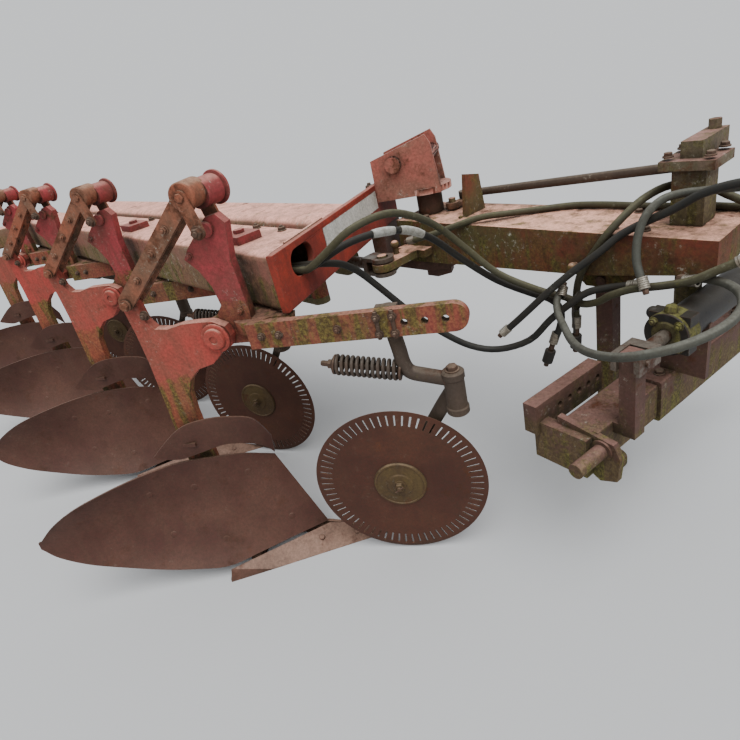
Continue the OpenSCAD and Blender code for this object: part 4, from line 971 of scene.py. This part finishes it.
# Bottoms
@dataclass(frozen=True)
class Board:
    """A moldboard with its trash board, the ribs behind it and the frog."""

    stations: tuple[Row, ...] = (
        (-190, -61, 45, -307, -51, 326, 0, -1, 0), (-285, -140, 50, -368, -124, 384, 16, -0.8, 0.6),
        (-375, -210, 50, -446, -176, 411, 30, -0.6, 0.8), (-465, -270, 46, -540, -201, 413, 42, -0.4, 0.92),
        (-560, -302, 62, -608, -242, 415, 48, -0.3, 0.95), (-655, -330, 86, -673, -286, 412, 46, -0.2, 0.98),
        (-755, -364, 128, -740, -338, 406, 36, -0.1, 1), (-850, -400, 178, -812, -386, 390, 24, 0, 1),
        (-925, -420, 226, -885, -414, 353, 10, 0, 1), (-957, -429, 268, -948, -428, 302, 2, 0, 1))
    trash: tuple[Row, ...] = (
        (-298, -62, 340, -276, -84, 420), (-303, -92, 386, -282, -135, 517),
        (-330, -127, 425, -336, -160, 545), (-388, -164, 450, -395, -180, 555),
        (-462, -192, 442, -460, -200, 551), (-525, -206, 431, -514, -215, 525),
        (-578, -238, 458, -586, -240, 466))
    bolt_places: tuple[tuple[int, float], ...] = (
        (4, 0.2), (6, 0.78), (14, 0.2), (15, 0.72), (22, 0.3), (23, 0.75))
    thickness: float = 8.0
    face_y: float = -149.3

    def point(self, row: list[float], t: float) -> Vector:
        """A point of the working face.

        Args:
            row: the station that it lies on.
            t: how far up it is, from 0 at the lower edge to 1 at the upper.
        Returns:
            The point.
        """
        a, c = Vector(row[:3]), Vector(row[3:6])
        b = (a + c) / 2 + 2 * row[6] * Vector((-0.5, 0.85, 0))
        return a * (1 - t) ** 2 + b * 2 * t * (1 - t) + c * t * t

    def behind(self, p: Vector, row: list[float], depth: float) -> Vector:
        """The point behind p by a depth."""
        return p + depth * Vector((row[7], row[8], 0))

    def build(self, k: int) -> None:
        """Builds one board.

        Args:
            k: the bottom's number, from 0.
        """
        at = bottom_frame(k)
        shape = Shape(f"board_{k + 1}")
        rows = blend_rows([*self.stations, (-962, -430, 271, -958, -430, 299, 0, 0, 1)], 5)
        cols = 16
        front = [[self.point(r, j / cols) for j in range(cols + 1)] for r in rows]
        back = [[self.behind(p, r, self.thickness) for p in line] for r, line in zip(rows, front)]
        shape.sheet(front, back, Paint.BOARD, at)
        flat = blend_rows(list(self.trash), 4)
        face = [[Vector(r[:3]).lerp(Vector(r[3:]), j / 6) for j in range(7)] for r in flat]
        rear = [[p + Vector((-2, 6, 0)) for p in line] for line in face]
        shape.sheet(face, rear, Paint.BOARD, at)
        shape.box((-500, -204, 474), (44, 204 + self.face_y, 12), Paint.BOARD, at)
        for t in (0.25, 0.6):
            line = [(self.behind(self.point(r, t), r, 4), r) for r in rows[10:21]]
            low = [[p - Vector((0, 0, 7)), Vector((p.x, self.face_y - 6, p.z - 7))] for p, _ in line]
            high = [[a + Vector((0, 0, 14)), b + Vector((0, 0, 14))] for a, b in low]
            shape.sheet(high, low, Paint.BOARD, at)
        shape.box((-560, self.face_y - 12, 62), (120, 12, 230), Paint.BOARD, at)
        shape.box((-560, self.face_y - 12, 62), (120, 99, 34), Paint.BOARD, at)
        self.bolts(shape, rows, at)
        board = shape.make(f"bottom_{k + 1}", 28)
        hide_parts(f"moldboard_{k + 1}")

    def bolts(self, shape: Shape, rows: list[list[float]], at: Matrix) -> None:
        """Flat round heads on the face, and nuts behind them.

        Args:
            shape: the board.
            rows: its dense stations.
            at: the bottom's frame.
        """
        for i, t in self.bolt_places:
            p = self.point(rows[i], t)
            across = self.point(rows[i], t + 0.05) - self.point(rows[i], t - 0.05)
            along = self.point(rows[i + 1], t) - self.point(rows[i - 1], t)
            out = along.cross(across).normalized()
            if out.y > 0:
                out = -out
            here = at @ facing(p, out)
            shape.lathe([(0, -2), (10.5, -2), (10.5, 0.4), (9, 1.5), (4, 2.2), (0, 2.3)], 20,
                        Paint.BOARD, here)
            shape.bolt(here @ shift(0, 0, -9.5) @ turn(180, "X"), 11, Paint.BOARD, thread=8)


@dataclass(frozen=True)
class CoulterArm:
    """A coulter's stem, clamp, cushion spring, caster post and cast arm."""

    wire: float = 5.0
    spring_mean: float = 24.0
    turns: int = 12
    pitch: float = 14.0
    hub: Row = COULTER_HUB
    stem: tuple[Row, ...] = (
        (180, -118, 821), (185, -118, 760), (192, -118, 700), (197, -118, 655),
        (212, -118, 630), (250, -118, 617), (317, -118, 599))
    arm: tuple[Row, ...] = (
        (312, -104, 560), (300, -90, 540), (272, -80, 498), (228, -74, 430), (172, -73, 345),
        (130, -73, 284), (115, -73, 262))

    def build(self, k: int) -> None:
        """Builds one coulter's arm in its two frames.

        Args:
            k: the bottom's number, from 0.
        """
        at, swung = bottom_frame(k), coulter_frame(k)
        shape = Shape(f"arm_{k + 1}")
        stem = dense(self.stem, 5)
        shape.tube(stem, [19.5] * len(stem), 20, Paint.ARM, at)
        shape.box((156, -136.7, 749), (56, 21.7, 77), Paint.ARM, at)
        for x in (164, 204):
            for z in (766, 810):
                shape.bolt(at @ out_y(x, -162, z), 9, thread=7)
            shape.tube([Vector((x, -163, z)) for z in (753, 826)], [5.5, 5.5], 12, Paint.BOLT, at)
        self.spring(shape, at @ shift(200, -118, 634) @ turn(190.5, "Y"))
        shape.lathe([(0, 500), (26, 500), (30, 504), (30, 520), (27, 524), (27, 604), (30, 608), (30, 624),
                     (26, 628), (0, 628)], 32, Paint.ARM, swung @ shift(*CASTER_POST))
        shape.bolt(swung @ shift(*CASTER_POST, 628), 15)
        line = dense(self.arm, 4)
        radii = [24 - 4 * i / (len(line) - 1) for i in range(len(line))]
        shape.tube(line, radii, 20, Paint.ARM, swung, 0.55)
        shape.lathe([(0, -15), (27, -15), (30, -11), (30, 6), (26, 9), (0, 9)], 32, Paint.ARM,
                    swung @ out_y(self.hub[0], -72, self.hub[2]))
        shape.bolt(swung @ out_y(self.hub[0], -63, self.hub[2], 1), 17, thread=8)
        shape.lathe([(0, 0), (15.8, 0), (15.8, 48), (13, 50), (0, 50)], 24, Paint.BOLT,
                    swung @ out_y(self.hub[0], -72, self.hub[2]))
        arm = shape.make(f"bottom_{k + 1}", 34)
        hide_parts(f"coulter_arm_{k + 1}")

    def spring(self, shape: Shape, at: Matrix) -> None:
        """A real helix on its rod, between two cupped washers.

        Args:
            shape: the arm.
            at: the spring's frame, with its rod along X.
        """
        steps_a_turn = 20
        start_x = 22
        axis = at @ turn(90, "Y")
        shape.lathe([(0, 0), (8, 0), (8, 228), (6, 232), (0, 232)], 16, Paint.BOLT, axis)
        for z in (12, 190):
            shape.lathe([(8, z), (27, z), (27, z + 5), (22, z + 8), (8, z + 8)], 28, Paint.BOLT, axis)
        shape.bolt(axis @ shift(0, 0, 198), 14, thread=12)
        path = []
        for i in range(self.turns * steps_a_turn + 1):
            a = 2 * math.pi * i / steps_a_turn
            path.append(Vector((start_x + i * self.pitch / steps_a_turn,
                                self.spring_mean * math.cos(a), self.spring_mean * math.sin(a))))
        shape.tube(path, [self.wire] * len(path), 8, Paint.SPRING, at)


@dataclass(frozen=True)
class Disc:
    """A coulter disc with a ring of slots near its edge, and its hub."""

    radius: float = 254.0
    thickness: float = 5.0
    slots: int = 66
    hub: Row = COULTER_HUB

    def build(self, k: int) -> None:
        """Builds one disc.

        Args:
            k: the bottom's number, from 0.
        """
        at = coulter_frame(k) @ out_y(*self.hub)
        shape = Shape(f"disc_{k + 1}")
        self.blade(shape, at)
        shape.lathe([(20, -9), (62, -9), (76, -6), (78, -3), (78, 5), (75, 9), (71, 9.5), (69, 7.5),
                     (40, 9), (36, 12), (22, 13), (0, 13)], 64, Paint.HUB, at)
        shape.lathe([(16.4, -26), (34, -26), (36, -22), (36, -9), (20, -9)], 40, Paint.ARM, at)
        shape.bolt(at @ shift(0, 0, 12), 15, Paint.HUB, thread=6)
        shape.tube([Vector((-12, -9, 31)), Vector((13, 10, 31))], [2.0, 2.0], 8, Paint.BOLT, at)
        disc = shape.make(f"coulter_{k + 1}", 30)
        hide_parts(f"coulter_{k + 1}")

    def blade(self, shape: Shape, at: Matrix) -> None:
        """The thin blade: rings of points on both faces, with the slots left open.

        Args:
            shape: the disc.
            at: its frame.
        """
        r, half = self.radius, self.thickness / 2
        rings = [(40.0, half), (150.0, half), (0.805 * r, half), (0.83 * r, half), (0.925 * r, half),
                 (0.95 * r, half), (r - 12, half), (r, 0.7)]
        count = self.slots * 4
        n = len(rings) * count
        points, faces = [], []
        for side in (1, -1):
            for radius, z in rings:
                for s in range(count):
                    a = 2 * math.pi * s / count
                    points.append(Vector((radius * math.cos(a), radius * math.sin(a), side * z)))

        def corners(i: int, s: int) -> tuple[int, int, int, int]:
            """The corners of the cell between ring i and the next one, at step s."""
            t = (s + 1) % count
            return i * count + s, i * count + t, (i + 1) * count + t, (i + 1) * count + s

        def is_open(i: int, s: int) -> bool:
            """Whether that cell is part of a slot."""
            return 2 <= i <= 4 and s % 4 == 1

        def wall(p: int, q: int) -> None:
            """Closes the blade's thickness between two neighbouring points."""
            faces.append((p, q, q + n, p + n))

        for i in range(len(rings) - 1):
            for s in range(count):
                a, b, c, d = corners(i, s)
                if not is_open(i, s):
                    faces += [(a, d, c, b), (a + n, b + n, c + n, d + n)]
                    continue
                wall(a, d)
                wall(c, b)
                if not is_open(i - 1, s):
                    wall(b, a)
                if not is_open(i + 1, s):
                    wall(d, c)
        for s in range(count):
            _, _, b, a = corners(len(rings) - 2, s)
            faces.append((a, a + n, b + n, b))
            a, b, _, _ = corners(0, s)
            wall(a, b)
        shape.add(points, faces, Paint.DISC, at)


@dataclass(frozen=True)
class Bottom:
    """The small parts on one bottom's bracket, standard, toggle and share."""

    face: float = STANDARD_FACE
    standard_bolts: tuple[Row, ...] = (
        (-480, 880, 11), (-500, 300, 12), (-500, 200, 12), (-500, 130, 12))
    bracket_bolts: tuple[Row, ...] = ((-300, 1012), (-212, 850))
    link_bolts: tuple[Row, ...] = ((-509, 921, 13), (-231, 1162, 12))
    bar_bolts: Row = (-150, -100, 60)
    share_bolts: tuple[Row, ...] = ((-90, 13), (-200, 24), (-320, 22))
    landside_bolts: Row = (-300, -480, -640)

    def build(self, k: int) -> None:
        """Adds bolts and pins to one bottom.

        Args:
            k: the bottom's number, from 0.
        """
        at = bottom_frame(k)
        shape = Shape(f"bottom_bolts_{k + 1}")
        for x, z, r in self.standard_bolts:
            shape.bolt(at @ out_y(x, self.face, z), r, thread=6)
        shape.lathe([(0, -1), (41, -1), (41, 3), (38, 5), (31, 5), (29, 13), (26, 15), (12, 15),
                     (10, 12), (0, 12)], 40, Paint.STANDARD, at @ out_y(-287, self.face - 8, 796))
        shape.lathe([(0, -1), (20, -1), (20, 7), (17, 10), (0, 10)], 30, Paint.BRACKET,
                    at @ out_y(-228, -118, 1072))
        for x, z in self.bracket_bolts:
            shape.bolt(at @ out_y(x, -118, z), 8, Paint.BRACKET, thread=3)
        for x, z, r in self.link_bolts:
            shape.bolt(at @ out_y(x, self.face - 20, z), r, Paint.LINK)
        for x in self.bar_bolts:
            shape.bolt(at @ out_y(x, self.face - 13, 790), 9, thread=5)
        for x, z in self.share_bolts:
            y = -80 + (x + 90) * 0.36
            shape.lathe([(0, -6), (9, -6), (9, 2.5), (7, 4), (0, 4.4)], 20, Paint.SHARE,
                        at @ shift(x, y, z + 1) @ turn(24, "X"))
        for x in self.landside_bolts:
            shape.lathe([(0, -2), (9, -2), (9, 1.2), (0, 1.8)], 20, Paint.SHARE, at @ out_y(x, -50, 64, 1))
        shape.make(f"bottom_{k + 1}")


@dataclass(frozen=True)
class Toggle:
    """The trip linkage above a standard: two flat links, a knuckle and its spring housing."""

    knuckle: Row = (-231.0, 1162.0)
    horn: Row = (-512.0, 925.0)
    heel: Row = (-215, 1078)
    links: tuple[Row, ...] = ((-163, -151), (-119, -107))
    spacers: Row = (0.24, 0.5, 0.72)
    width: float = 44.0
    housing: float = 75.0

    def build(self, k: int) -> None:
        """Builds one bottom's toggle.

        Args:
            k: the bottom's number, from 0.
        """
        at = bottom_frame(k)
        shape = Shape(f"toggle_links_{k + 1}")
        for y0, y1 in self.links:
            shape.bar(self.horn, self.knuckle, self.width, y0, y1, Paint.LINK, at)
        for t in self.spacers:
            x, z = (a + (b - a) * t for a, b in zip(self.horn, self.knuckle))
            shape.bolt(at @ out_y(x, -163, z), 8.5, Paint.LINK, thread=4)
            shape.pin(8, 32, 16, Paint.BOLT, at @ out_y(x, -151, z, 1))
        x, z = self.horn
        for y, sign in ((-149.5, -1), (-120.5, 1)):
            shape.pin(13, 19, 24, Paint.BOLT, at @ out_y(x + 3, y, z - 4, sign))
        x, z = self.knuckle
        shape.lathe([(0, 0), (31, 0), (34, 3), (34, 69), (31, 72), (0, 72)], 40, Paint.LINK,
                    at @ out_y(x, -169, z, 1))
        low = at @ out_y(x + 4, -105, z - 8, 1) @ turn(12, "Y")
        n = self.housing
        shape.lathe([(0, 0), (36, 0), (36, n - 14), (34, n - 12), (34, n - 10), (42, n - 8), (43, n - 6),
                     (43, n - 2), (41, n), (30, n), (28, n - 4), (0, n - 4)], 44, Paint.BRACKET, low)
        for width, y0, y1 in ((40, -87.7, -77.7), (34, -176, -169)):
            shape.bar(self.knuckle, self.heel, width, y0, y1, Paint.LINK, at)
        shape.pin(20, 32, 28, Paint.BOLT, at @ out_y(x, -105, z, 1))
        x, z = self.heel
        shape.bolt(at @ out_y(x, -176, z), 14, thread=4)
        links = shape.make(f"bottom_{k + 1}", 34, bevel=0.0012)
        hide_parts(f"toggle_{k + 1}")


# Frame, tongue, hitch and tail
@dataclass(frozen=True)
class Frame:
    """Welds, bolts, the blank strip and the cylinder's head on the beams, plate, tongue and hitch."""

    plate_welds: tuple[tuple[Row, Row], ...] = (
        ((96, 20, 985), (320, 20, 985)), ((420, 20, 979), (620, 20, 979)))
    beam_top: float = 985
    kingpin_top: float = 945
    tongue_top: float = 849
    horn_top: float = 836
    post_top: float = 1000
    rail_top: float = 494
    tail_face: float = -91
    strip_low: Row = (276, -1.2, 909)
    strip_size: Row = (420, 1.3, 58)
    crosswise: Row = (-1, 1)
    gland: Row = (-262, -85, 655)

    def build(self) -> None:
        """Adds the small parts body by body."""
        self.frame_parts()
        self.tongue_parts()
        self.hitch_parts()

    def weld(self, shape: Shape, a: Row, b: Row, at: Matrix, r: float = 5.0) -> None:
        """A rippled bead.

        Args:
            shape: the piece that gets it.
            a: where it starts.
            b: where it ends.
            at: the frame.
            r: its radius.
        """
        start, end = Vector(a), Vector(b)
        n = max(4, int((end - start).length / 4))
        path = [start.lerp(end, i / n) for i in range(n + 1)]
        shape.tube(path, [r * (1.0 if i % 2 else 0.8) for i in range(n + 1)], 8, Paint.BEAM, at)

    def frame_parts(self) -> None:
        """The plate's welds, the hinge's, brackets' and tail arm's bolts, and the blank white strip."""
        shape = Shape("frame_details")
        for a, b in self.plate_welds:
            self.weld(shape, a, b, PLATE)
        for s in self.crosswise:
            for x in (-250, -190):
                shape.bolt(TONGUE @ shift(x, s * 50, self.kingpin_top), 15, thread=8)
        for k in range(BOTTOMS):
            for x in (-70, 70):
                shape.bolt(BEAM @ shift(-k * BEAM_STEP + x, 96, self.beam_top), 11, thread=5)
        for x in (-2760, -2680, -2600):
            for z in (850, 965):
                shape.bolt(BEAM @ out_y(x, self.tail_face, z), 15, thread=6)
        shape.make("main_frame")
        strip = Shape("white_strip")
        strip.box(self.strip_low, self.strip_size, Paint.WHITE, PLATE)
        strip.make("main_frame")

    def tongue_parts(self) -> None:
        """Bolts and the weld on the tongue."""
        shape = Shape("tongue_details")
        for y in (-80, 80):
            for x in (-40, 45):
                shape.bolt(TONGUE @ shift(x, y, self.tongue_top), 12)
        self.weld(shape, (175, -60, self.tongue_top), (175, 60, self.tongue_top), TONGUE)
        for x in (700, 780):
            for y in (-70, 70):
                shape.bolt(TONGUE @ shift(x, y, self.horn_top), 10)
        shape.make("tongue")

    def hitch_parts(self) -> None:
        """Bolts on the hitch's post, cross tube and pin plates, and the cylinder's mossy head."""
        shape = Shape("hitch_details")
        post = TONGUE @ shift(855, 15)
        for y in (-42, 42):
            for x in (-46, 46):
                shape.bolt(post @ shift(x, y, self.post_top), 10)
        for x in (-134, 246):
            for z in (540, 600):
                shape.bolt(HITCH @ shift(x, -72, z) @ turn(90, "Y"), 11, thread=5)
        for x in (-180, -60, 60, 220):
            shape.bolt(HITCH @ shift(x, -30, self.rail_top), 11)
        head = HITCH @ shift(*self.gland) @ turn(90, "Y")
        shape.lathe([(17, -3), (30, -3), (34, 0), (40, 2), (50, 2), (53, 6), (53, 50), (50, 56),
                     (43, 58), (42.2, 70), (42.2, 12), (17, 12)], 40, Paint.GLAND, head)
        for a in (45, 135, 225, 315):
            shape.bolt(head @ turn(a) @ shift(41, 0, 2) @ turn(180, "X"), 9, Paint.GLAND, thread=4)
        port = [Vector((-242, -85, z)) for z in (700, 716, 722)]
        shape.tube(port, [15, 15, 12], 8, Paint.GLAND, HITCH)
        shape.make("hitch")
        bar = Shape("bar_details")
        for s in self.crosswise:
            plate = HITCH @ shift(s * 483, 0, 435) @ turn(90 * s, "Y")
            for x in (-30, 20):
                bar.bolt(plate @ shift(x, 36), 11)
            bar.lathe([(0, 0), (10, 0), (10, 5), (0, 6)], 20, Paint.BOLT,
                      HITCH @ shift(s * 575, -66, 450) @ turn(90 * s, "Y"))
        bar.make("hitch_slide")


@dataclass(frozen=True)
class Tyre:
    """The tail wheel's ribbed tyre and its bolts."""

    radius: float = 330.0
    width: float = 190.0
    rim: float = 195.0

    def build(self) -> None:
        """Builds the ribbed tyre and the wheel's bolts."""
        at = TAIL @ shift(-560, 0, 330) @ turn(90, "X")
        w, r, rim = self.width / 2, self.radius, self.rim
        half = [(r, 8), (r - 7, 11), (r - 7, 17), (r, 20), (r, 40), (r - 7, 43), (r - 7, 49), (r - 1, 52),
                (r - 6, 66), (r - 12, w - 20), (r - 28, w - 9), (r - 48, w - 2), (r - 70, w),
                (rim + 40, w - 2), (rim + 24, w - 5), (rim + 12, w - 14), (rim + 10, w - 22),
                (rim + 1, 69)]
        profile = [(a, -b) for a, b in reversed(half)] + half
        shape = Shape("ribbed_tyre")
        shape.ring(profile, 128, Paint.TYRE, at)
        tyre = shape.make("tail_wheel", 26)
        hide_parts("tail_tyre")
        small = Shape("wheel_bolts")
        for i in range(6):
            small.bolt(at @ turn(60 * i) @ shift(95, 0, 8), 13, thread=8)
        small.make("tail_wheel")


FINISH_OF = {
    "main_beam": Paint.BEAM, "brace_tube": Paint.BEAM, "end_plate": Paint.PLATE,
    "headstock": Paint.HEAD, "hinge_casting": Paint.HITCH, "width_barrel": Paint.OLIVE,
    "width_rod": Paint.ROD, "tongue": Paint.TONGUE, "bell_crank": Paint.LINK, "steer_rod": Paint.ARM,
    "hitch_post": Paint.POST, "hitch_tube": Paint.HITCH, "hitch_barrel": Paint.DARK,
    "hitch_bar": Paint.HITCH, "hitch_rod": Paint.ROD, "stand_leg": Paint.HITCH,
    "parallel_bar": Paint.OLIVE, "tail_arm": Paint.BEAM, "tail_head": Paint.STANDARD,
    "wheel_arm": Paint.STANDARD, "tail_barrel": Paint.DARK, "tail_piston": Paint.ROD,
    "tail_rim": Paint.PLATE, "bracket": Paint.BRACKET, "standard": Paint.STANDARD,
    "share": Paint.SHARE}


def dress_nodes() -> None:
    """Gives every CAD node that stays its material and softened edges."""
    for name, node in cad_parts.items():
        paint = FINISH_OF.get(name, FINISH_OF.get(name.rsplit("_", 1)[0]))
        if paint is None:
            continue
        node.data.materials.clear()
        node.data.materials.append(paint.material())
        weld = node.modifiers.new("joined", "WELD")
        weld.merge_threshold = WELD_REACH
        soften(node, NODE_BEVEL)
        LOG.info("%s dressed", name)


@dataclass(frozen=True)
class Studio:
    """The camera at the photograph's angle, the pale floor and the soft light."""

    lens: float = 26.76
    sensor: float = 36.0
    nearest: float = 0.02
    eye: Row = (1.853, -2.00525, 1.315)
    right: Row = (0.951, 0.228, -0.209)
    up: Row = (0.069, 0.503, 0.862)
    floor_half: float = 400.0
    sky: Colour = (0.84, 0.86, 0.88)
    key: float = 3.1
    key_lean: float = 28.0
    key_angle: float = 50.0
    towards_key: Row = (0.3, -0.45, 1.0)

    def build(self) -> None:
        """Builds the camera, the floor and the light."""
        self.camera()
        self.floor()
        self.light()

    def place(self, name: str, data: bpy.types.ID) -> bpy.types.Object:
        """Puts a camera, mesh or light into the scene as an object."""
        item = bpy.data.objects.new(name, data)
        bpy.context.scene.collection.objects.link(item)
        return item

    def camera(self) -> None:
        """Builds the camera."""
        camera = bpy.data.cameras.new("camera")
        camera.lens = self.lens
        camera.sensor_width = self.sensor
        camera.clip_start = self.nearest
        eye = self.place("camera", camera)
        right = Vector(self.right).normalized()
        back = right.cross(Vector(self.up)).normalized()
        turned = Matrix((right, back.cross(right), back)).transposed().to_4x4()
        eye.matrix_world = Matrix.Translation(self.eye) @ turned
        bpy.context.scene.camera = eye

    def floor(self) -> None:
        """Builds a floor that looks as bright as the sky, so that no horizon shows."""
        mesh = bpy.data.meshes.new("floor")
        size = self.floor_half
        mesh.from_pydata([(-size, -size, 0), (size, -size, 0), (size, size, 0), (-size, size, 0)], [],
                         [(0, 1, 2, 3)])
        floor = self.place("floor", mesh)
        pale = bpy.data.materials.new("floor_pale")
        pale.use_nodes = True
        shader = pale.node_tree.nodes["Principled BSDF"]
        albedo = [c / (c + self.key / math.pi) for c in self.sky]
        shader.inputs["Base Color"].default_value = (*albedo, 1.0)
        shader.inputs["Roughness"].default_value = 1.0
        shader.inputs["Specular IOR Level"].default_value = 0.0
        mesh.materials.append(pale)

    def light(self) -> None:
        """Builds the even sky and one wide soft light."""
        world = bpy.data.worlds.new("studio")
        world.use_nodes = True
        world.node_tree.nodes["Background"].inputs["Color"].default_value = (*self.sky, 1.0)
        bpy.context.scene.world = world
        light = bpy.data.lights.new("sky_light", "SUN")
        light.energy = self.key / math.cos(math.radians(self.key_lean))
        light.angle = math.radians(self.key_angle)
        lamp = self.place("sky_light", light)
        lamp.rotation_euler = Vector(self.towards_key).to_track_quat("Z", "Y").to_euler()


def main() -> None:
    """Builds everything in order."""
    logging.basicConfig(level=logging.INFO, format="%(name)s %(message)s")
    Studio().build()
    HOSES.build()
    dress_nodes()
    for k in range(BOTTOMS):
        for part in (Board(), CoulterArm(), Disc(), Bottom(), Toggle()):
            part.build(k)
    Frame().build()
    Tyre().build()


if __name__ == "__main__":
    main()
